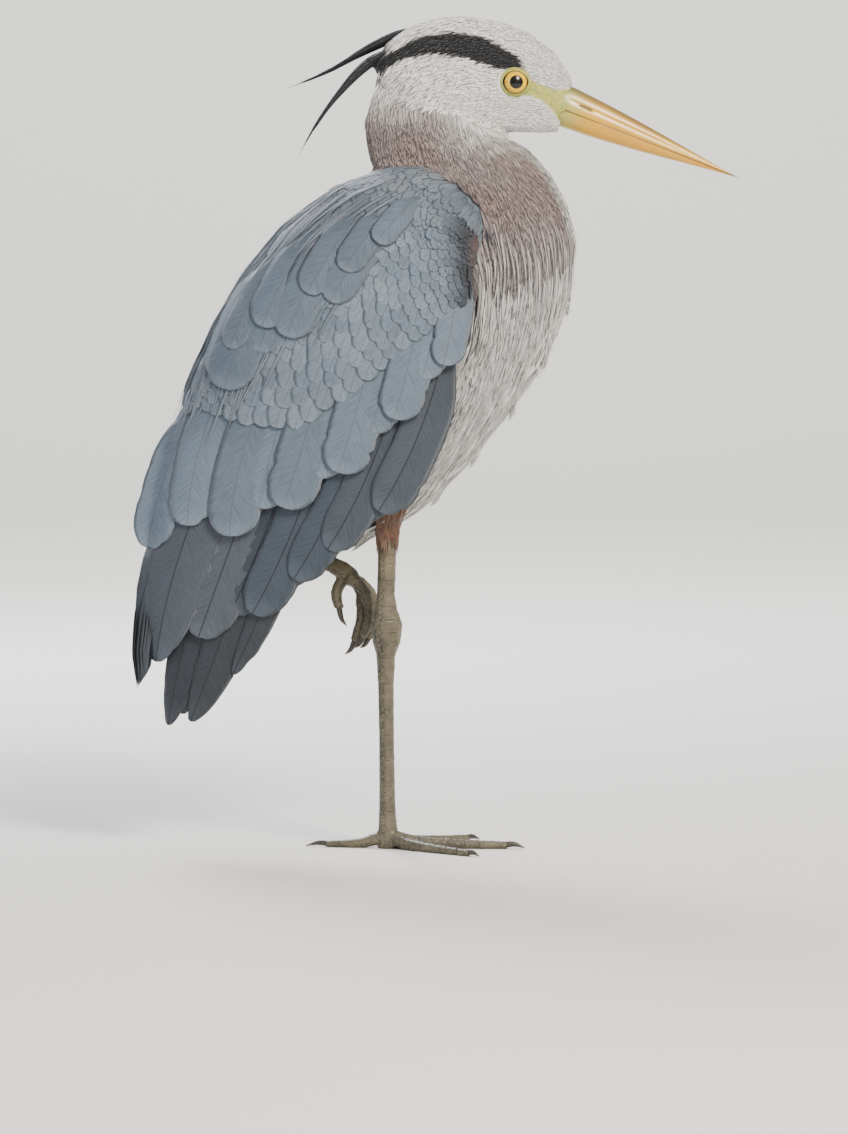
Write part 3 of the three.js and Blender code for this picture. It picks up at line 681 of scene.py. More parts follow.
# %% Masks of the markings over the body
STRIPE_TOP = [
    (-60, 606), (-23, 616), (0, 632), (26, 646), (54, 649), (77, 645), (103, 630), (116, 619), (124, 611)]
STRIPE_FOOT = [
    (-60, 596), (-23, 606), (-4, 620), (13, 629), (36, 633), (62, 630), (87, 621), (100, 622), (124, 610)]
EYE_X, EYE_Z, EYE_RADIUS = 101.0, 611.0, 11.2


def height_on(curve, x):
    xs, zs = np.array(curve, float).T
    return np.interp(x, xs, zs)


def ripple(points, size, phase):
    """Slow waves over the body that keep the borders of a marking from being straight."""
    x, y, z = (points / size).T
    waves = np.sin(1.7 * x + 2.3 * z + phase) + np.sin(2.9 * y - 1.3 * x + 2 * phase)
    return (waves + np.sin(2.1 * z + 1.9 * y)) / 3


def head_marks(points, normals):
    x, y, z = points.T
    edge = 1.4 + 0.6 * ripple(points, 5, 1.0)
    above_foot = step_between(-edge, edge, z - height_on(STRIPE_FOOT, x))
    below_top = 1 - step_between(-edge, edge, z - height_on(STRIPE_TOP, x) - 0.1 * np.abs(y))
    nape = 1 - step_between(-6, 10, x)
    dark = above_foot * np.maximum(below_top, nape) * (1 - step_between(104, 112, x))
    hind_neck = (1 - step_between(0, 40, x)) * (1 - step_between(592, 620, z + 7 * ripple(points, 3, 0.2)))
    pale = (1 - 0.8 * hind_neck) * (1 - dark)
    warm = 0.22 * hind_neck
    return pale, warm, dark


def neck_marks(points, normals):
    x, y, z = points.T
    front = step_between(0.05, 0.75, normals[:, 0] - 0.15 * normals[:, 2])
    stripe = front * (1 - step_between(9, 17, np.abs(y) + 2 * ripple(points, 7, 2.0)))
    loose = z + 9 * ripple(points, 3, 0.2)
    throat = step_between(545, 580, loose) * step_between(25, 75, x + 5 * ripple(points, 4, 1.0))
    cheek = 0.75 * step_between(570, 605, loose)
    pale = np.maximum(np.maximum(stripe, throat), cheek)
    warm = (0.32 + 0.12 * ripple(points, 16, 0.7)) * (1 - pale) * step_between(420, 520, z)
    dark = np.zeros_like(pale)
    return pale, warm, dark


def breast_marks(points, normals):
    x, y, z = points.T
    middle = 1 - step_between(10, 26, np.abs(y) + 3 * ripple(points, 9, 0.5))
    off_patch = np.hypot((x - 62) / 20, (z - 436) / 40) + 0.2 * ripple(points, 6, 1.4)
    shoulder = step_between(22, 34, np.abs(y)) * (1 - step_between(0.65, 1.1, off_patch))
    pale = 0.5 + 0.4 * middle
    return pale * (1 - shoulder), 0.1 * (1 - middle), 0.9 * shoulder


def belly_marks(points, normals):
    x, y, z = points.T
    bands = step_between(8, 14, np.abs(y)) * (1 - step_between(26, 34, np.abs(y)))
    under = 1 - step_between(250, 330, z + 0.5 * x)
    pale = 0.85 * under * (1 - bands)
    return pale, np.zeros_like(pale), 0.9 * bands * under


def thigh_marks(points, normals):
    z = points[:, 2]
    warm = 0.75 + 0.2 * ripple(points, 10, 0.0)
    return 0.25 * step_between(240, 320, z), warm, np.zeros_like(warm)


def covert_marks(points, normals):
    x, y, z = points.T
    bend = step_between(40, 66, x + 0.10 * (z - 470) + 3 * ripple(points, 9, 3.0))
    bend = bend * step_between(385, 425, z)
    rust = bend * step_between(60, 74, x) * 0.8
    pale = 0.04 + 0.04 * ripple(points, 14, 1.0)
    return pale * (1 - bend), rust, 0.9 * bend * (1 - 0.7 * rust)


def back_marks(points, normals):
    pale = 0.05 + 0.05 * ripple(points, 18, 2.0)
    return pale, np.zeros_like(pale), np.zeros_like(pale)


MARKS = [head_marks, neck_marks, neck_marks, breast_marks, belly_marks, back_marks, thigh_marks, thigh_marks,
         covert_marks, covert_marks]


def marks_of(points, normals, parts):
    """The masks pale, warm and dark at points on the body."""
    marks = np.zeros((len(points), 3))
    for number, masks in enumerate(MARKS):
        mine = parts == number
        if mine.any():
            marks[mine] = np.stack(masks(points[mine], normals[mine]), 1)
    return np.clip(marks, 0, 1)


# %% [markdown]
# ## Shader groups that all plumage shares
# Seen close, a vane is ruled with fine barbs that leave the shaft at a slant. The first group turns the
# lengths stored on each blade, across and along, into that ruling and the line of the shaft. The second
# mixes the bird's colours from the three masks.

# %% The group for barbs and shaft
def new_group(name, inputs, outputs):
    """A shader group with its inputs {name: default} and outputs. A text stands for a colour."""
    tree = bpy.data.node_groups.new(name, "ShaderNodeTree")
    for way, sockets in (("INPUT", inputs), ("OUTPUT", outputs)):
        for label, default in sockets.items():
            kind = "NodeSocketColor" if isinstance(default, str) else "NodeSocketFloat"
            socket = tree.interface.new_socket(name=label, in_out=way, socket_type=kind)
            if way == "INPUT":
                set_input(tree, socket, default)
    return tree, tree.nodes.new("NodeGroupInput").outputs, tree.nodes.new("NodeGroupOutput").inputs


def use(tree, group, **inputs):
    return add(tree, "Group", {"node_tree": group}, **inputs).outputs


FLAT_NOISE = {"noise_dimensions": "2D"}
barbs, given, made = new_group(
    "barbs_and_shaft",
    {"Across": 0.0, "Along": 0.0, "Spacing": 0.5, "Slant": 1.1, "Shaft": 0.35, "Seed": 0.0},
    {"Height": 0.0, "Shade": 0.0, "Shaft": 0.0})
off_shaft = maths(barbs, "ABSOLUTE", given["Across"])
wobble = noise(barbs, joined_xyz(barbs, given["Across"], given["Along"]), 0.35, 2.0, **FLAT_NOISE)
slanted = maths(barbs, "SUBTRACT", given["Along"], times(barbs, off_shaft, given["Slant"]))
slanted = maths(barbs, "ADD", slanted, times(barbs, wobble, 2.2))
turns = maths(barbs, "DIVIDE", slanted, given["Spacing"])
wave = maths(barbs, "SINE", times(barbs, turns, 2 * math.pi))
coarse = maths(barbs, "SINE", times(barbs, turns, 1.9))
clumps = noise(barbs, joined_xyz(barbs, maths(barbs, "MULTIPLY_ADD", given["Seed"], 90.0, slanted),
                                 times(barbs, given["Across"], 0.12)), 0.8, 3.0, **FLAT_NOISE)
shaft_line = ramp(barbs, off_shaft, given["Shaft"], times(barbs, given["Shaft"], 0.35))
lines = maths(barbs, "ADD", times(barbs, wave, 0.5), times(barbs, coarse, 0.25))
parted = maths(barbs, "MULTIPLY_ADD", clumps, 2.2, -0.6)
for label, value in (("Height", maths(barbs, "ADD", times(barbs, lines, 0.5), times(barbs, shaft_line, 2.0))),
                     ("Shade", maths(barbs, "MULTIPLY_ADD", lines, 0.3, parted, clamp=True)),
                     ("Shaft", shaft_line)):
    barbs.links.new(value, made[label])

# %% The group for the bird's colours
plumage, given, made = new_group(
    "heron_plumage",
    {"Base": "7d8b99", "Pale": "eceae4", "Warm": "9b5a3a", "Dark": "0d0e12", "Pale share": 0.0,
     "Warm share": 0.0, "Dark share": 0.0, "Tone": 0.5}, {"Colour": "000000"})
mixed = given["Base"]
for mask in ("Pale", "Warm", "Dark"):
    mixed = mix(plumage, given[mask + " share"], mixed, given[mask])
brightness = maths(plumage, "MULTIPLY_ADD", given["Tone"], 0.22, 0.89)
plumage.links.new(scaled(plumage, mixed, brightness), made["Colour"])
print("groups:", barbs.name, plumage.name)


# %% Materials for feathers
feathers = {}


def feather_material(name, base, warm="7c4521", fringe="b9c0c6", fringe_share=0.25, spacing=0.5, shaft=0.35,
                     shaft_colour="3a3632", shaft_share=0.5, roughness=0.62, bump=0.35):
    """Feathers whose colour comes from the masks, with barbs, a shaft, a worn fringe and roots darkened by
    painted shade.
    """
    material, tree = start_material(name)
    across, along, tone = stored(tree, "vane")
    edge, reach, streaked = stored(tree, "shape")
    pale_share, warm_share, dark_share = stored(tree, "marks")
    ruled = use(tree, barbs, Across=across, Along=along, Spacing=spacing, Shaft=shaft, Seed=tone)
    colour = use(tree, plumage, Base=base, Warm=warm, Pale_share=pale_share, Warm_share=warm_share,
                 Dark_share=dark_share, Tone=tone)[0]
    rim = maths(tree, "MAXIMUM", ramp(tree, edge, 0.72, 1.0), ramp(tree, reach, 0.88, 1.0))
    rim = times(tree, rim, times(tree, fringe_share, maths(tree, "SUBTRACT", 1.0, dark_share)))
    colour = mix(tree, rim, colour, fringe)
    colour = mix(tree, times(tree, streaked, ramp(tree, edge, 0.75, 0.25)), colour, "1b1b20")
    colour = mix(tree, times(tree, ruled["Shaft"], shaft_share), colour, shaft_colour)
    # Painted shade: the roots, which lie under the next feathers, are darkened, and the barb shade darkens
    # the grooves between barbs and varies with their clumps.
    root_shade = ramp(tree, reach, 0.0, 0.6, 0.7, 1.0)
    colour = scaled(tree, colour, times(tree, root_shade, ramp(tree, ruled["Shade"], 0.0, 1.0, 0.78, 1.1)))
    worn = ramp(tree, ruled["Shade"], 0.0, 1.0, roughness + 0.08, roughness - 0.08)
    feathers[name] = finished(material, Base_Color=colour, Roughness=worn, Sheen_Weight=0.15,
                              Sheen_Roughness=0.4, Specular_IOR_Level=0.35,
                              Normal=relief(tree, ruled["Height"], bump, 0.0004))


feather_material("face_feathers", "d9d7d1", fringe_share=0.0, spacing=0.3, shaft_share=0.0, bump=0.2)
feather_material("neck_feathers", "8f8a8a", warm="966f5c", fringe="bab2ad", fringe_share=0.2, spacing=0.35,
                 shaft_share=0.15)
feather_material("breast_feathers", "92969b", fringe="d5d3cf", fringe_share=0.3, spacing=0.4,
                 shaft_share=0.2, shaft_colour="e6e3dc")
feather_material("body_feathers", "7c8790", spacing=0.45, shaft_share=0.2)
feather_material("back_feathers", "56636f", fringe="84919d", fringe_share=0.3)
feather_material("covert_feathers", "5e6c79", fringe="8b98a4", fringe_share=0.3)
feather_material("flight_feathers", "38424d", fringe="626e7a", fringe_share=0.3, spacing=0.6, shaft=0.7,
                 shaft_colour="17171a", shaft_share=0.8, bump=0.45, roughness=0.5)
feather_material("thigh_feathers", "8c8278", warm="6e4122", fringe="94704e", fringe_share=0.2, spacing=0.35,
                 shaft_share=0.1)
feather_material("black_plumes", "17181d", fringe="2b2e38", fringe_share=0.4, spacing=0.35, shaft=0.3,
                 shaft_colour="050506", roughness=0.42)
feather_material("silvery_plumes", "65717d", fringe="8793a0", fringe_share=0.2, shaft_share=0.0)
print("feathers of", len(feathers), "kinds")

# %% [markdown]
# ## The legs and feet
# A heron's leg is bare skin: broad plates like roof tiles down the front and along the top of each toe, and
# small round scales behind. A line down the middle of each limb tells every point how far down the leg it is
# and which way it faces.

# %% Lines down the middle of each limb, and which way its plates face
KNEE_SIDE, HIP_Z, TOE_JOINT_Z, ANKLE_Z = 29, 300, 11, 176
FORWARD, UPWARD = (1, 0, 0), (0, 0, 1)


def leg_side(z):
    return -KNEE_SIDE * (z - TOE_JOINT_Z) / (HIP_Z - TOE_JOINT_Z)


TOES = {"middle": (-3, 96, 5.4, 14), "inner": (36, 80, 4.9, 12), "outer": (-40, 84, 4.9, 11),
        "hind": (172, 50, 4.7, 17)}
HANGING_TOES = {
    "middle": [(-31, 17, 217), (-22.5, 17, 209), (-20.5, 17, 193), (-22.5, 16.5, 177), (-27, 16, 165.5)],
    "inner": [(-32, 12, 217), (-20, 9.5, 209), (-15, 8, 194), (-16, 8, 179), (-20.5, 9, 169)],
    "outer": [(-32, 22, 217), (-17.5, 25, 209), (-10.5, 27, 193), (-11, 27, 177), (-16, 25.5, 167)],
    "hind": [(-37, 17, 215), (-41.5, 17, 204), (-39.5, 17, 192)]}


def along_floor(angle, distance, height):
    turn = math.radians(angle)
    return distance * math.cos(turn), distance * math.sin(turn), height


LIMBS = [([(0, leg_side(272), 272), (-1.5, leg_side(200), 200), (-2, leg_side(ANKLE_Z), ANKLE_Z),
           (-1.5, leg_side(150), 150), (0, 0, 13), (0, 0, 4)], FORWARD, 5.2)]
LIMBS += [([along_floor(a, 5, 8), along_floor(a, 0.5 * length, 0.7 * thick),
            along_floor(a, length, 0.5 * thick)], UPWARD, 3.6) for a, length, thick, _ in TOES.values()]
LIMBS += [([(-72, 26, 240.5), (-58, 22, 232.5), (-45, 19, 226.7), (-33, 17, 220)], (0.4, 0, 0.9), 5.0)]
LIMBS += [(path, (-1, 0, 0.2) if name == "hind" else (0.75, 0, 0.6), 3.4)
          for name, path in HANGING_TOES.items()]

LEG_NODES = [name for name in nodes if name.startswith(("shank", "ankle", "tarsus", "toe"))]
LEG_VOXEL = 0.9
leg_mesh = without_bubbles(closed_over(stacked(LEG_NODES), LEG_VOXEL, 6))
leg_points, _ = arrays_of(leg_mesh)


def limb_places(points):
    """For each point: how far along its limb, how much it faces the plates, plate spacing, limb number."""
    best = np.full(len(points), np.inf)
    found = np.zeros((len(points), 4))
    for number, (path, facing, pitch) in enumerate(LIMBS):
        path = np.array(path, float)
        so_far = 0.0
        for a, b in zip(path[:-1], path[1:]):
            run = b - a
            t = np.clip((points - a) @ run / (run @ run), 0, 1)
            out = points - (a + t[:, None] * run)
            gap = np.linalg.norm(out, axis=1)
            nearer = gap < best
            best[nearer] = gap[nearer]
            faces = unit(out) @ unit(np.array(facing, float))
            length = np.linalg.norm(run)
            found[nearer] = np.stack([so_far + t * length, faces, np.full(len(points), pitch),
                                      np.full(len(points), number)], 1)[nearer]
            so_far += length
    return found


# %% [markdown]
# The plates stand a quarter of a millimetre proud and overlap downwards, and the toes swell into pads under
# each joint. Those forms are moved in the mesh, and the finer grain is left to the material's bump.

# %% Plates and pads
PLATE_STEP = 0.42
leg_along, leg_faces, leg_pitch, leg_limb = limb_places(leg_points).T
in_plate = (leg_along / leg_pitch + 0.35 * np.sin(leg_along * 0.6)) % 1
plate = step_between(-0.35, 0.1, leg_faces) * (in_plate ** 1.5 - 2.2 * step_between(0.86, 1.0, in_plate))
pads = np.where((leg_limb > 0) & (leg_limb != 5), np.maximum(np.sin(leg_along * 0.27 + 1.2), 0) ** 2, 0)
pads *= step_between(0.0, 0.8, -leg_faces)
flat_sole = leg_points[:, 2] < 0.8
moved = np.where(flat_sole, 0, PLATE_STEP * plate + 0.7 * pads)
leg_points = leg_points + read(leg_mesh.vertices, "normal", 3) * moved[:, None]
leg_points[:, 2] = np.maximum(leg_points[:, 2], 0.0)
move_vertices(leg_mesh, leg_points)
print("leg faces:", len(leg_mesh.polygons))

# %% [markdown]
# ## The bare skin of the face
# Between the eye and the bill a heron has only smooth greenish skin. Its border is where the feathers of the
# face stop.

# %% Where the face is bare
LORE_TOP = [(106, 617), (113, 614), (124, 609), (136, 605), (150, 608)]
LORE_FOOT = [(106, 601), (113, 600), (123, 596.6), (131, 588), (137, 580), (142, 571), (150, 560)]


def bareness(points):
    """1 on the bare skin in front of the eye, 0 in the feathers."""
    x, y, z = points.T
    inside = np.minimum(height_on(LORE_TOP, x) - z, z - height_on(LORE_FOOT, x))
    return step_between(-0.6, 0.6, inside) * step_between(104, 107, x)


def eye_gap(points):
    """Millimetres from the middle of the eye in the side view."""
    return np.hypot(points[:, 0] - EYE_X, points[:, 2] - EYE_Z)


# %% Materials of the skin
def skin_under_coat():
    """Skin in the colours of the feathers on it, and bare greenish skin in front of the eye."""
    material, tree = start_material("skin_under_coat")
    pale_share, warm_share, dark_share = stored(tree, "marks")
    bare = stored(tree, "scute")[2]
    place = object_place(tree)
    blotch = noise(tree, place, 420.0, 4.0)
    down = use(tree, plumage, Base="545f69", Pale="cfccc6", Warm="80583f", Pale_share=pale_share,
               Warm_share=warm_share, Dark_share=dark_share, Tone=blotch)[0]
    green = mix(tree, ramp(tree, blotch, 0.35, 0.65), "8f9a52", "b9ae4e")
    return finished(material, Base_Color=mix(tree, bare, down, green),
                    Roughness=ramp(tree, bare, 0.0, 1.0, 0.85, 0.42),
                    Normal=relief(tree, voronoi(tree, place, 900.0), 0.3, 0.0003))


def scaly_skin():
    """Dark horny plates in front, small round scales behind, and painted shade darkening the grooves and
    seams.
    """
    material, tree = start_material("scaly_leg_skin")
    faces, in_plate = stored(tree, "scute")[1], stored(tree, "marks")[0]
    place = object_place(tree)
    tone = add(tree, "SeparateColor", Color=voronoi(tree, place, 320.0, "Color")).outputs[0]
    groove = ramp(tree, voronoi(tree, place, 320.0, feature="DISTANCE_TO_EDGE"), 0.0, 0.13)
    seam = ramp(tree, in_plate, 0.84, 0.97, 1.0, 0.0)
    high = add(tree, "Mix", Factor=ramp(tree, faces, -0.4, 0.0))
    set_input(tree, high.inputs[2], groove)
    set_input(tree, high.inputs[3], seam)
    high = high.outputs[0]
    horn = mix(tree, ramp(tree, noise(tree, place, 60.0, 5.0), 0.3, 0.7), "625b48", "433e33")
    horn = mix(tree, times(tree, tone, 0.3), horn, "7f775a")
    knee = ramp(tree, split(tree, place)[2], 0.20, 0.235)
    horn = mix(tree, times(tree, knee, 0.3), horn, "84775a")
    fine = noise(tree, place, 2400.0, 3.0)
    # Painted shade: the grooves between the scales and the seams between the plates are darkened.
    return finished(material, Base_Color=mix(tree, ramp(tree, high, 0.0, 0.8, 0.8, 0.0), horn, "242119"),
                    Roughness=ramp(tree, high, 0.0, 1.0, 0.75, 0.42),
                    Normal=relief(tree, maths(tree, "MULTIPLY_ADD", fine, 0.15, high), 0.7, 0.0004))


# %% One skin, from the face to the toes
skin_marks = marks_of(skin_points, read(skin_mesh.vertices, "normal", 3), skin_part)
skin_bare = np.zeros((len(skin_points), 3))
skin_bare[:, 2] = bareness(skin_points)
whole = bmesh.new()
whole.from_mesh(skin_mesh)
body_faces = len(whole.faces)
whole.from_mesh(leg_mesh)
whole.faces.ensure_lookup_table()
for face in whole.faces:
    face.smooth = True
    face.material_index = int(face.index >= body_faces)
whole_mesh = bpy.data.meshes.new("skin")
whole.to_mesh(whole_mesh)
whole.free()
for layer in list(whole_mesh.uv_layers):
    whole_mesh.uv_layers.remove(layer)
nothing = np.zeros(len(leg_points))
put_vectors(whole_mesh, "marks", np.concatenate([skin_marks, np.stack([in_plate, nothing, nothing], 1)]))
put_vectors(whole_mesh, "scute", np.concatenate([skin_bare, np.stack([leg_along, leg_faces, nothing], 1)]))
whole_mesh.materials.append(skin_under_coat())
show("skin", whole_mesh, "leg_skin", *FLESH, *LEG_NODES, material=scaly_skin())

# %% [markdown]
# ## The folded wing
# A folded wing is a fan that has been shut: each long feather shows only the edge that the next does not
# cover. Each is drawn flat in the side view, from its tip back to its root, and then laid on one smooth
# outer form, a little deeper at its root.

# %% The outer form of the folded wings
CLOAK = np.array([
    (42, 550, 66, 532, 30), (6, 550, 88, 500, 52), (-36, 535, 104, 453, 66), (-78, 507, 116, 398, 73),
    (-110, 470, 112, 342, 76), (-135, 433, 92, 292, 74), (-153, 392, 66, 252, 69), (-169, 352, 42, 222, 63),
    (-182, 308, 20, 196, 57), (-191, 266, -5, 178, 51), (-192, 224, -30, 160, 45), (-193, 182, -52, 135, 39),
    (-188, 146, -74, 108, 33), (-182, 106, -92, 84, 27), (-176, 70, -108, 56, 22)], float)
CLOAK_SQUARENESS = 2.4
fine = np.linspace(0, len(CLOAK) - 1, 181)
CLOAK_FINE = np.stack([np.interp(fine, np.arange(len(CLOAK)), column) for column in CLOAK.T], 1)
for _ in range(60):
    CLOAK_FINE[1:-1] += 0.25 * (CLOAK_FINE[:-2] - 2 * CLOAK_FINE[1:-1] + CLOAK_FINE[2:])


def cloak_width(x, z):
    """Half the width of the folded wings at each place in the side view."""
    back, front, half = CLOAK_FINE[:, :2], CLOAK_FINE[:, 2:4], CLOAK_FINE[:, 4]
    chord = front - back
    size = np.linalg.norm(chord, axis=1)
    chord = chord / size[:, None]
    dx, dz = x[:, None] - back[:, 0], z[:, None] - back[:, 1]
    off = np.abs(dz * chord[:, 0] - dx * chord[:, 1])
    along = 2 * (dx * chord[:, 0] + dz * chord[:, 1]) / size - 1
    best = np.argmin(off + 0.5 * np.maximum(np.abs(along) - 1, 0) * size, axis=1)
    pick = np.arange(len(x))
    inside = np.clip(np.abs(along[pick, best]), 0, 0.985)
    return half[best] * (1 - inside ** CLOAK_SQUARENESS) ** (1 / CLOAK_SQUARENESS)


print("widest part of the wings:", round(2 * cloak_width(np.array([0.0]), np.array([406.0]))[0]), "mm")

# %% [markdown]
# ## The coat
# Feathers are shortest round the bill and the eye and grow longer down the neck and over the back. One
# function grows each coat: it walks each shaft over the skin along the lie, and lets it rise so that its tip
# rests on the next feathers.

# %% How long and how close the feathers are
def coat_length(points, parts):
    """Length in millimetres of the feather at each root."""
    x, y, z = points.T
    down_wing = np.clip(((62 - x) * 0.55 + (484 - z) * 0.83) / 250, 0, 1)
    down_back = np.clip(((50 - x) * 0.7 + (540 - z) * 0.7) / 230, 0, 1)
    neck = np.interp(z, [450, 560, 620], [26, 18, 14])
    by_part = [
        np.interp(x, [-15, 40, 95, 120, 150], [15.0, 12.0, 8.0, 6.0, 4.2]), neck, neck,
        np.full(len(x), 34.0), np.full(len(x), 30.0), 24 + 22 * down_back,
        np.interp(z, [258, 300, 345], [22, 20, 22]), np.interp(z, [235, 270, 318], [18, 18, 22]),
        19 + 26 * down_wing, 19 + 26 * down_wing]
    return np.choose(parts, by_part)


WIDTH_SHARE = np.array([0.105, 0.065, 0.065, 0.07, 0.16, 0.19, 0.08, 0.08, 0.23, 0.23])
SPACING_SHARE = np.array([0.155, 0.07, 0.07, 0.08, 0.17, 0.15, 0.08, 0.08, 0.165, 0.165])
TIP_LIFT = np.array([0.75, 1.7, 2.1, 3.0, 2.6, 2.3, 1.8, 1.8, 1.75, 1.75])
NEAT = np.array([1, 1, 1, 1, 1, 0.35, 1, 1, 0.2, 0.2])
COAT_CAMBER, COAT_THICKNESS = 0.1, 0.1
ROOT_DEPTH, FREE_TIP = 0.9, 3.5


def coat_spacing(points, parts):
    return coat_length(points, parts) * SPACING_SHARE[parts]


def round_tip(s):
    """Width of a contour feather along its length, as a share of its widest."""
    return np.sqrt(np.clip(1 - ((s - 0.66) / 0.35) ** 2, 0, 1)) * (s > 0.66) + (s <= 0.66) * (
        0.35 + 0.65 * step_between(0, 0.66, s))


def pointed_tip(s):
    """Width of a soft hair-like feather."""
    return (0.45 + 0.55 * step_between(0, 0.4, s)) * (1 - step_between(0.45, 1.12, s)) ** 0.8


def turned(directions, normals, angles):
    """Directions turned about the normals."""
    side = np.cross(normals, directions)
    return directions * np.cos(angles)[:, None] + side * np.sin(angles)[:, None]


def walk(roots, normals, parts, length, rows, low, high, wander, loose=1.3):
    """Shafts laid over the skin: points, sideways vectors and upward vectors, each [n, rows + 2, 3]."""
    steps = rows + 1
    stride = (length / steps)[:, None]
    twist = wander * chance.standard_normal(len(roots))
    heading = turned(lie_of(roots, normals, parts), normals, twist)
    spot, up = roots.copy(), normals.copy()
    spine, raised = [spot + up * (low - ROOT_DEPTH)[:, None]], [up]
    for step in range(1, steps + 1):
        ahead = spot + heading * stride
        on, facing, _ = skin.nearest(ahead)
        off = ahead - on
        off = off - up * (off * up).sum(1, keepdims=True)
        free = (np.linalg.norm(off, axis=1) > loose) | ((facing * up).sum(1) < 0.5)
        spot = np.where(free[:, None], ahead, on)
        up = unit(np.where(free[:, None], up, 0.5 * up + 0.5 * facing))
        turning = turned(lie_of(spot, up, parts), up, twist)
        heading = unit(np.where(free[:, None], heading, turning))
        share = step / steps
        spine.append(spot + up * (low + (high - low) * share)[:, None])
        raised.append(up)
    spine, raised = np.stack(spine, 1), np.stack(raised, 1)
    forward = unit(np.gradient(spine, axis=1))
    side = unit(np.cross(forward, raised))
    return spine, side, np.cross(side, forward)


def settled(spine, lift):
    """Which feathers end near the skin. The others have walked off an edge of the body."""
    tips = spine[:, -1]
    return np.linalg.norm(tips - skin.nearest(tips)[0], axis=1) < lift + FREE_TIP


def grow_coat(name, parts_here, rows, columns, profile, slot, thrown, wander=0.12, allowed=None,
              streaks=None, tilt=0.0):
    """Grows all the small feathers of some parts of the body as one mesh."""
    def here(points, normals, parts):
        kept = bareness(points) < 0.4
        kept &= (eye_gap(points) > EYE_RADIUS + 0.9) | (np.abs(points[:, 1]) < 9) | (parts != HEAD)
        return kept if allowed is None else kept & allowed(points, normals, parts)

    roots, normals, parts = scattered(parts_here, here, coat_spacing, thrown)
    vary = NEAT[parts] * chance.uniform(-0.2, 0.2, (3, len(roots)))
    length = coat_length(roots, parts) * (1 + vary[0])
    low = np.full(len(roots), 0.15)
    high = TIP_LIFT[parts] * (1 + 1.3 * vary[1])
    spine, side, up = walk(roots, normals, parts, length, rows, low, high, wander)
    kept = settled(spine, high)
    roots, normals, parts, length = (a[kept] for a in (roots, normals, parts, length))
    spine, side, up = (a[kept] for a in (spine, side, up))
    vary = vary[:, kept]
    share = np.linspace(0, 1, rows + 2)
    wide = WIDTH_SHARE[parts] * length * (1 + 0.8 * vary[2])
    marks = marks_of(roots + 0.5 * (spine[:, -1] - roots), normals, parts)
    seeds = chance.random(len(roots))
    streak = np.zeros(len(roots)) if streaks is None else streaks(roots, normals, seeds)
    blades = Blades(rows, columns, False)
    blades.add(spine, side, up, wide[:, None] * profile(share)[None], COAT_CAMBER, COAT_THICKNESS, seeds,
               marks, on_atlas(roots), streak, tilt=-tilt * np.sign(roots[:, 1]))
    show(name, blades, slot)
    print(name, len(roots), "feathers")


# %% [markdown]
# The small feathers stop where the long ones come out from under them: above the lobes of the greater
# coverts and of the scapulars. No small feather's tip may pass those two lines.

# %% Where the small feathers of the wing and the back stop
COVERT_FOOT = [
    (-200, 352), (-171, 347), (-147, 350), (-118, 338), (-74, 330), (-34, 356), (7, 390), (46, 424),
    (62, 436), (80, 440)]
BACK_FOOT = [
    (-175, 392), (-150, 412), (-115, 424), (-65, 450), (-15, 484), (12, 497), (30, 492), (60, 483),
    (95, 466)]
WING_SKIN_DEPTH = 7.0


def tips_of(points, normals, parts):
    return points + lie_of(points, normals, parts) * coat_length(points, parts)[:, None]


def over_the_bend(points, normals, parts):
    """The bend of the wing, in front of the rows of small coverts and above the lobes of the greater ones."""
    x, y, z = points.T
    tips = tips_of(points, normals, parts)
    outer = (cloak_width(x, z) - np.abs(y) < WING_SKIN_DEPTH) & (normals[:, 1] * np.sign(y) > -0.1)
    bend = (normals[:, 0] > 0.35) | (x > 58)
    return bend & (outer | (x > 58)) & (tips[:, 2] > height_on(COVERT_FOOT, tips[:, 0])) & (z > 335)


def over_the_back(points, normals, parts):
    """The back: on its sides, only above the lobes of the scapulars."""
    tips = tips_of(points, normals, parts)
    lower = 120 * (1 - step_between(16, 44, np.abs(tips[:, 1])))
    return tips[:, 2] > height_on(BACK_FOOT, tips[:, 0]) - lower


def clear_of_the_back(points, normals, parts):
    """The neck, where its feathers do not end on the back."""
    forward = tips_of(points, normals, parts) - points
    return (part_of(points + 1.5 * forward) != MANTLE) & (part_of(points + 0.7 * forward) != MANTLE)


def foreneck_streaks(roots, normals, seeds):
    """Black streaks beside the white stripe down the front of the neck."""
    off_middle = np.abs(roots[:, 1] + 1.5 * np.sin(roots[:, 2] / 9))
    band = step_between(3, 6, off_middle) * (1 - step_between(10, 15, off_middle))
    front = step_between(0.3, 0.8, normals[:, 0])
    return band * front * (seeds > 0.45) * 0.9


def breast_streaks(roots, normals, seeds):
    off_middle = np.abs(roots[:, 1])
    band = step_between(8, 14, off_middle) * (1 - step_between(24, 34, off_middle))
    return band * (seeds > 0.6) * 0.8


grow_coat("face_coat", [HEAD], 4, 3, pointed_tip, "face_feathers", 60000, wander=0.14)
grow_coat("neck_coat", [NECK_UPPER], 5, 3, pointed_tip, "neck_feathers", 40000, wander=0.16,
          streaks=foreneck_streaks)
grow_coat("lower_neck_coat", [NECK_LOWER], 5, 3, pointed_tip, "neck_feathers", 40000,
          wander=0.16, allowed=clear_of_the_back, streaks=foreneck_streaks)
grow_coat("breast_coat", [BREAST], 6, 3, pointed_tip, "breast_feathers", 40000, wander=0.16,
          streaks=breast_streaks)
grow_coat("belly_coat", [TRUNK], 6, 3, round_tip, "body_feathers", 20000)
grow_coat("covert_coat", [COVERTS_RIGHT, COVERTS_LEFT], 8, 5, round_tip, "covert_feathers", 30000,
          wander=0.03, allowed=over_the_bend, tilt=0.07)
grow_coat("back_coat", [MANTLE], 8, 5, round_tip, "back_feathers", 30000, wander=0.05,
          allowed=over_the_back, tilt=0.06)
grow_coat("thigh_coat", [THIGH_RIGHT, THIGH_LEFT], 6, 3, pointed_tip, "thigh_feathers", 12000,
          wander=0.16)

